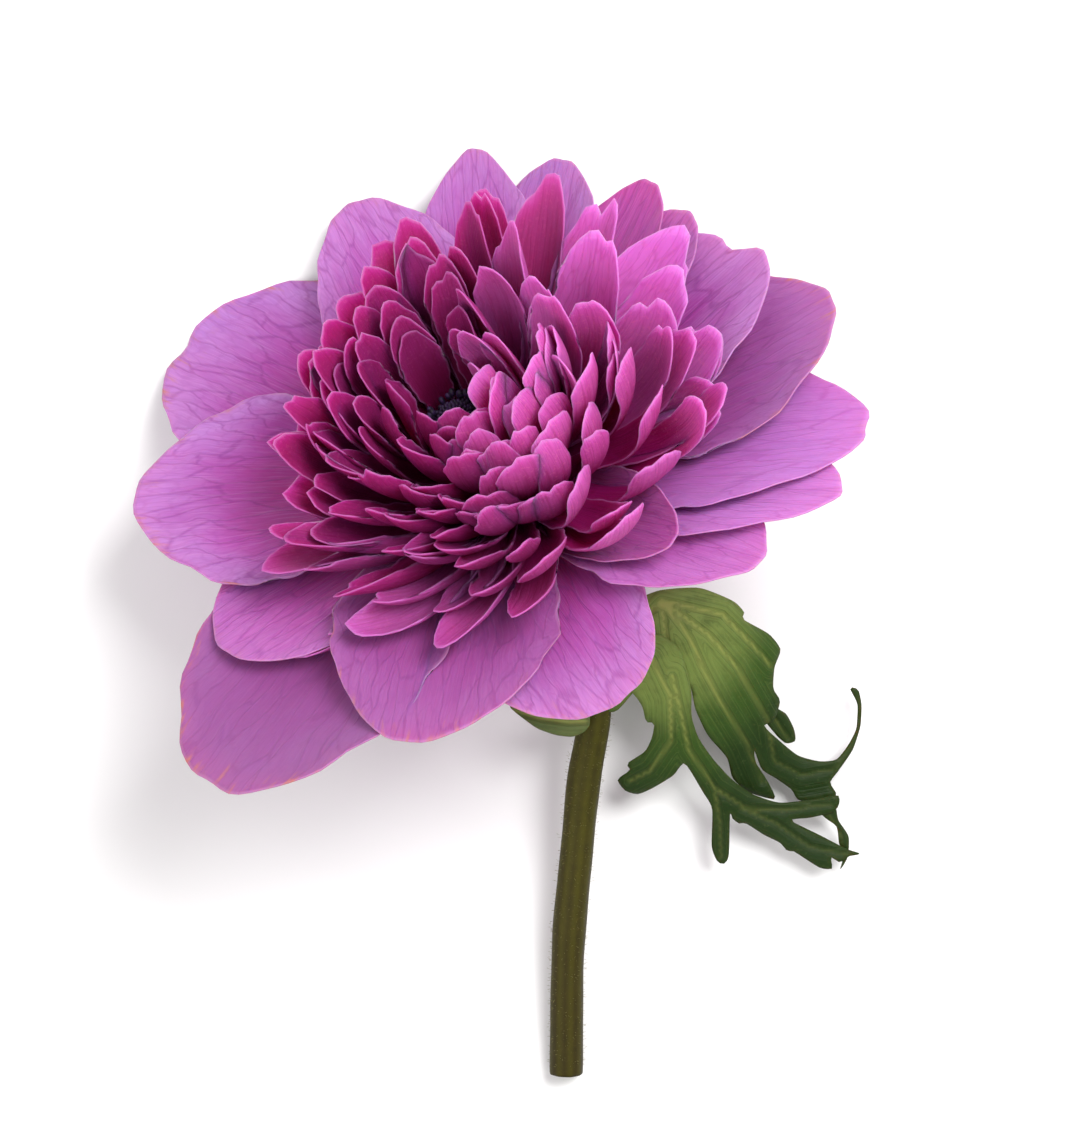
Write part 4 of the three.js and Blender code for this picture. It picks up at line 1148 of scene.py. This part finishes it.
def fill(outline, spacing):
    """Triangles that fill an outline, from its border points and a staggered grid of points inside it."""
    border = closed_curve(outline, spacing)
    low, high = border.min(0), border.max(0)
    columns = np.arange(low[0], high[0], spacing)
    rows = np.arange(low[1], high[1], spacing * 0.87)
    x, y = np.meshgrid(columns, rows)
    x = x + (np.arange(len(rows)) % 2)[:, None] * spacing / 2
    inner = np.stack([x.ravel(), y.ravel()], -1)
    a, b = border, np.roll(border, -1, 0)
    crosses = (a[:, 1] > inner[:, 1:]) != (b[:, 1] > inner[:, 1:])
    slope = (b[:, 0] - a[:, 0]) / np.where(b[:, 1] == a[:, 1], 1e-9, b[:, 1] - a[:, 1])
    inside = (crosses & (inner[:, :1] < a[:, 0] + (inner[:, 1:] - a[:, 1]) * slope)).sum(1) % 2 == 1
    inner = inner[inside]
    inner = inner[distance_to(inner, np.concatenate([border, border[:1]])) > spacing * 0.45]
    everything = [Vector(p) for p in np.concatenate([border, inner])]
    edge = [(i, (i + 1) % len(border)) for i in range(len(border))]
    made = delaunay_2d_cdt(everything, edge, [list(range(len(border)))], 1, 1e-5)
    return np.array([tuple(p) for p in made[0]]), np.array([tuple(f) for f in made[2]])


print("Triangles in the left leaf's net:", len(fill(LEFT_LEAF, 0.3)[1]))

# %% [markdown]
# A leaf is thicker in the middle than at its margin, and each vein is sunk a little on its upper side. A
# bump pattern could show the veins, but they would be missing from the mesh. So the net is draped over the
# height function with the veins pressed into it, and closed by a second net below and a strip round the
# rim.

# %% Draping and closing a leaf
# all in millimetres
LEAF_THICKNESS = 0.36
VEIN_WIDTH = 0.32
VEIN_DEPTH = 0.18
RIPPLE = 0.12


def leaf_sheet(outline, height, veins, spacing):
    """A closed thin leaf: points, faces, and for each point its nearness to a vein and to the margin."""
    flat, triangles = fill(outline, spacing)
    border = closed_curve(outline, spacing)
    margin = distance_to(flat, np.concatenate([border, border[:1]]))
    near = np.min([distance_to(flat, line) for line in veins], 0)
    vein = np.exp(-(near / VEIN_WIDTH) ** 2)
    z = height(flat[:, 0], flat[:, 1]) - VEIN_DEPTH * vein + RIPPLE * np.sin(near * 2.4)
    half = LEAF_THICKNESS / 2 * (0.3 + 0.7 * smooth(margin, 0, 0.5))
    x, y = flat[:, 0] + WHORL_AT[0], flat[:, 1] + WHORL_AT[1]
    points = np.concatenate([np.stack([x, y, z + half], -1), np.stack([x, y, z - half], -1)])
    sides = np.concatenate([triangles[:, [0, 1]], triangles[:, [1, 2]], triangles[:, [2, 0]]])
    known = set(map(tuple, sides.tolist()))
    rim = np.array([s for s in known if (s[1], s[0]) not in known])
    count = len(flat)
    strip = np.stack([rim[:, 1], rim[:, 0], rim[:, 0] + count, rim[:, 1] + count], -1)
    faces = triangles.tolist() + (triangles[:, ::-1] + count).tolist() + strip.tolist()
    nearness = np.exp(-near / 1.6)
    return points, faces, np.tile(vein, 2), np.tile(nearness, 2), np.tile(smooth(margin, 0, 0.7), 2)


print("A leaf is", LEAF_THICKNESS, "mm thick and its veins are", VEIN_DEPTH, "mm deep")

# %% [markdown]
# The leaves are satin green, with yellowish veins and thin stripes that run beside them. Painted light makes
# them lighter where they stand high, and painted shade darker where they hang low. The greens could be
# painted from above, but the paint would smear down the hanging lobes. The stripes are noise over each
# vertex's nearness to a vein, so they follow the veins wherever the sheet bends.

# %% The leaves' material
def leaf_material(name, light, middle, dark):
    """Three greens by height, painted light high and painted shade low, stripes beside the veins, and a dull
    margin.
    """
    g = Graph(name)
    vein = g.attribute("vein")
    near = g.attribute("near")
    high = g.attribute("high")
    margin = g.attribute("margin")
    mottle = g.noise(g.object_place(), 420.0, 3)
    fine = g.noise(g.object_place(), 2400.0, 2)
    stripes = g.noise(g.place(near * 11, mottle * 0.6, 0.0), 1.6, 2)
    # painted light and painted shade: the higher a point stands above the table the lighter its green, with a
    # little mottle
    painted_light_by_height = high + (mottle - 0.5) * 0.3
    body = g.blend(g.ramp(painted_light_by_height, 0.1, 0.55), dark, middle)
    body = g.blend(g.ramp(painted_light_by_height, 0.5, 1.0), body, light)
    body = g.blend(g.ramp(mottle, 0.45, 0.75) * 0.3, body, dark)
    body = g.blend(g.ramp(stripes, 0.5, 0.7) * (0.03 + high * 0.3), body, light)
    body = g.blend(g.ramp(stripes, 0.5, 0.34) * (0.1 + high * 0.25), body, dark)
    body = g.blend(vein ** 2 * (0.1 + high * 0.7), body, ink(146, 152, 78))
    body = g.blend((1 - margin) * 0.25, body, ink(60, 74, 26))
    body = g.blend(g.ramp(fine, 0.6, 0.75) * 0.08, body, ink(120, 132, 80))
    normal = g.relief(stripes * 0.8 + mottle * 0.4 + fine * 0.2 - vein * 0.7, 0.2, 0.8)
    return g.surface({"Base Color": body, "Roughness": 0.5 + mottle * 0.12, "Normal": normal,
                      "Specular IOR Level": 0.2, "Subsurface Weight": 0.1, "Subsurface Scale": MM})


green_leaf = leaf_material("green_leaf", ink(112, 130, 62), ink(48, 74, 18), ink(22, 44, 3))
grey_leaf = leaf_material("grey_leaf", ink(104, 118, 68), ink(62, 80, 34), ink(34, 50, 14))

# %% [markdown]
# The right leaf is four sheets: a blade, lobes over it, a hanging strip and a small leaflet. The left leaf
# is a small fold, and the back one lies hidden under the bloom. Each sheet could have a height function of
# its own, but then they would part where they meet. One arch carries all four sheets of the right leaf,
# and each adds little to it.

# %% Build the leaves
ARCH_TOP = (6.9, 10.5)
ARCH_FOOT = 1.4
ARCH_HEIGHT = 13.6
ARCH_SPREAD = 12.5


def arch(x, y):
    """The right leaf's height: foot + height exp(-d^2/(2 spread^2)), where d is the distance to the top."""
    squared = (x - ARCH_TOP[0]) ** 2 + (y - ARCH_TOP[1]) ** 2
    return ARCH_FOOT + ARCH_HEIGHT * np.exp(-squared / (2 * ARCH_SPREAD ** 2))


def build_leaf(name, node, sheets, material):
    """One leaf from its sheets, each an outline, a height function, veins and a spacing."""
    parts = []
    faces = []
    base = 0
    for outline, height, veins, spacing in sheets:
        points, more, vein, near, margin = leaf_sheet(outline, height, veins, spacing)
        faces += [[n + base for n in face] for face in more]
        base += len(points)
        parts.append((points, vein, near, margin))
    points, vein, near, margin = (np.concatenate(column) for column in zip(*parts))
    # the height of each point, from 3 to 15 mm above the table, which the material turns into painted light and
    # shade
    high = smooth(points[:, 2], 3.0, 15.0)
    points[:, 2] = np.maximum(points[:, 2], LOWEST)
    attributes = {"vein": vein, "near": near, "margin": margin, "high": high}
    piece = mesh_object(name, points, faces, attributes, None, material)
    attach(piece, "root")
    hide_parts(node)


# outline, height, veins and spacing of each sheet
build_leaf("leaf_right", "bract_right", [
    (RIGHT_BLADE, arch, BLADE_VEINS, 0.5),
    (RIGHT_LOBES, lambda x, y: arch(x, y) + 0.5 + 1.3 * smooth(x - y, 10, 26), LOBE_VEINS, 0.5),
    (RIGHT_STRIP, lambda x, y: arch(x, y) + 1.3, [[(27.0, -11.8), (28.6, -14.6), (28.9, -17.5)]], 0.4),
    (RIGHT_LEAFLET, lambda x, y: arch(x, y) - 0.5, [[(19.8, 0.2), (22.4, -3.4)]], 0.4),
], green_leaf)
build_leaf("leaf_left", "bract_left", [
    (LEFT_LEAF, lambda x, y: WHORL_AT[2] + 2.65 - 0.03 * x ** 2, CENTRE_VEIN_LEFT, 0.3),
], grey_leaf)
build_leaf("leaf_back", "bract_back", [
    (BACK_LEAF, lambda x, y: WHORL_AT[2] - 2.75 - 0.12 * y + 0.02 * x ** 2, BACK_VEINS, 0.6),
], green_leaf)

# %% [markdown]
# Table, light and camera
# The camera looks straight down on the flower, so that the image's up is +Y. A soft key light stands above
# the far right, and a weak fill above the left. A picture of a sky could light the scene, but two area
# lamps and a pale world are plainer, and the petals keep soft shadows between them.

# %% Table and light
def build_stage():
    """The floor, a pale world, and two square lamps that face the flower."""
    bpy.ops.mesh.primitive_plane_add(size=6.0, location=(0, 0, 0))
    floor = bpy.context.object
    floor.name = "pale_table"
    g = Graph("pale_table")
    floor.data.materials.append(g.surface({"Base Color": ink(243, 243, 242), "Roughness": 0.8}))
    world = bpy.data.worlds.new("studio")
    world.use_nodes = True
    world.node_tree.nodes["Background"].inputs["Color"].default_value = (1.0, 0.98, 0.98, 1)
    world.node_tree.nodes["Background"].inputs["Strength"].default_value = 0.6
    bpy.context.scene.world = world
    # name, place and size in metres, power in watts
    lamps = [("key", (0.3, 0.3, 0.75), 0.4, 7.5), ("fill", (-0.45, -0.15, 0.6), 0.6, 2.2)]
    for name, place, size, power in lamps:
        light = bpy.data.lights.new(name, "AREA")
        light.size = size
        light.energy = power
        lamp = bpy.data.objects.new(name, light)
        lamp.location = place
        lamp.rotation_euler = (-Vector(place)).to_track_quat("-Z", "Y").to_euler()
        bpy.context.scene.collection.objects.link(lamp)
        print("Lamp:", name, power, "W")


build_stage()
bpy.context.scene.view_settings.view_transform = "Standard"

# %% [markdown]
# The lens could be chosen by eye. It is worked out instead from the scale of the photograph, so that the
# flower fills the frame as it does there.

# %% Camera
IMAGE_HEIGHT = 1140
PIXELS_PER_MM = 9.0
# straight above this point of the table, in metres
CAMERA_AT = (0.00403, 0.00473, 0.600)
eye = bpy.data.cameras.new("eye")
eye.lens = eye.sensor_width * PIXELS_PER_MM * (CAMERA_AT[2] * 1000 - BLOOM_AT[2]) / IMAGE_HEIGHT
viewer = bpy.data.objects.new("viewer", eye)
viewer.location = CAMERA_AT
bpy.context.scene.collection.objects.link(viewer)
bpy.context.scene.camera = viewer
print("Camera lens:", round(eye.lens, 1), "mm")

# %% [markdown]
# Sizes
# The looks have to fill the same box as the CAD flower, because other parts are placed by that box. The
# two could be compared by eye, but a millimetre is too little to see.
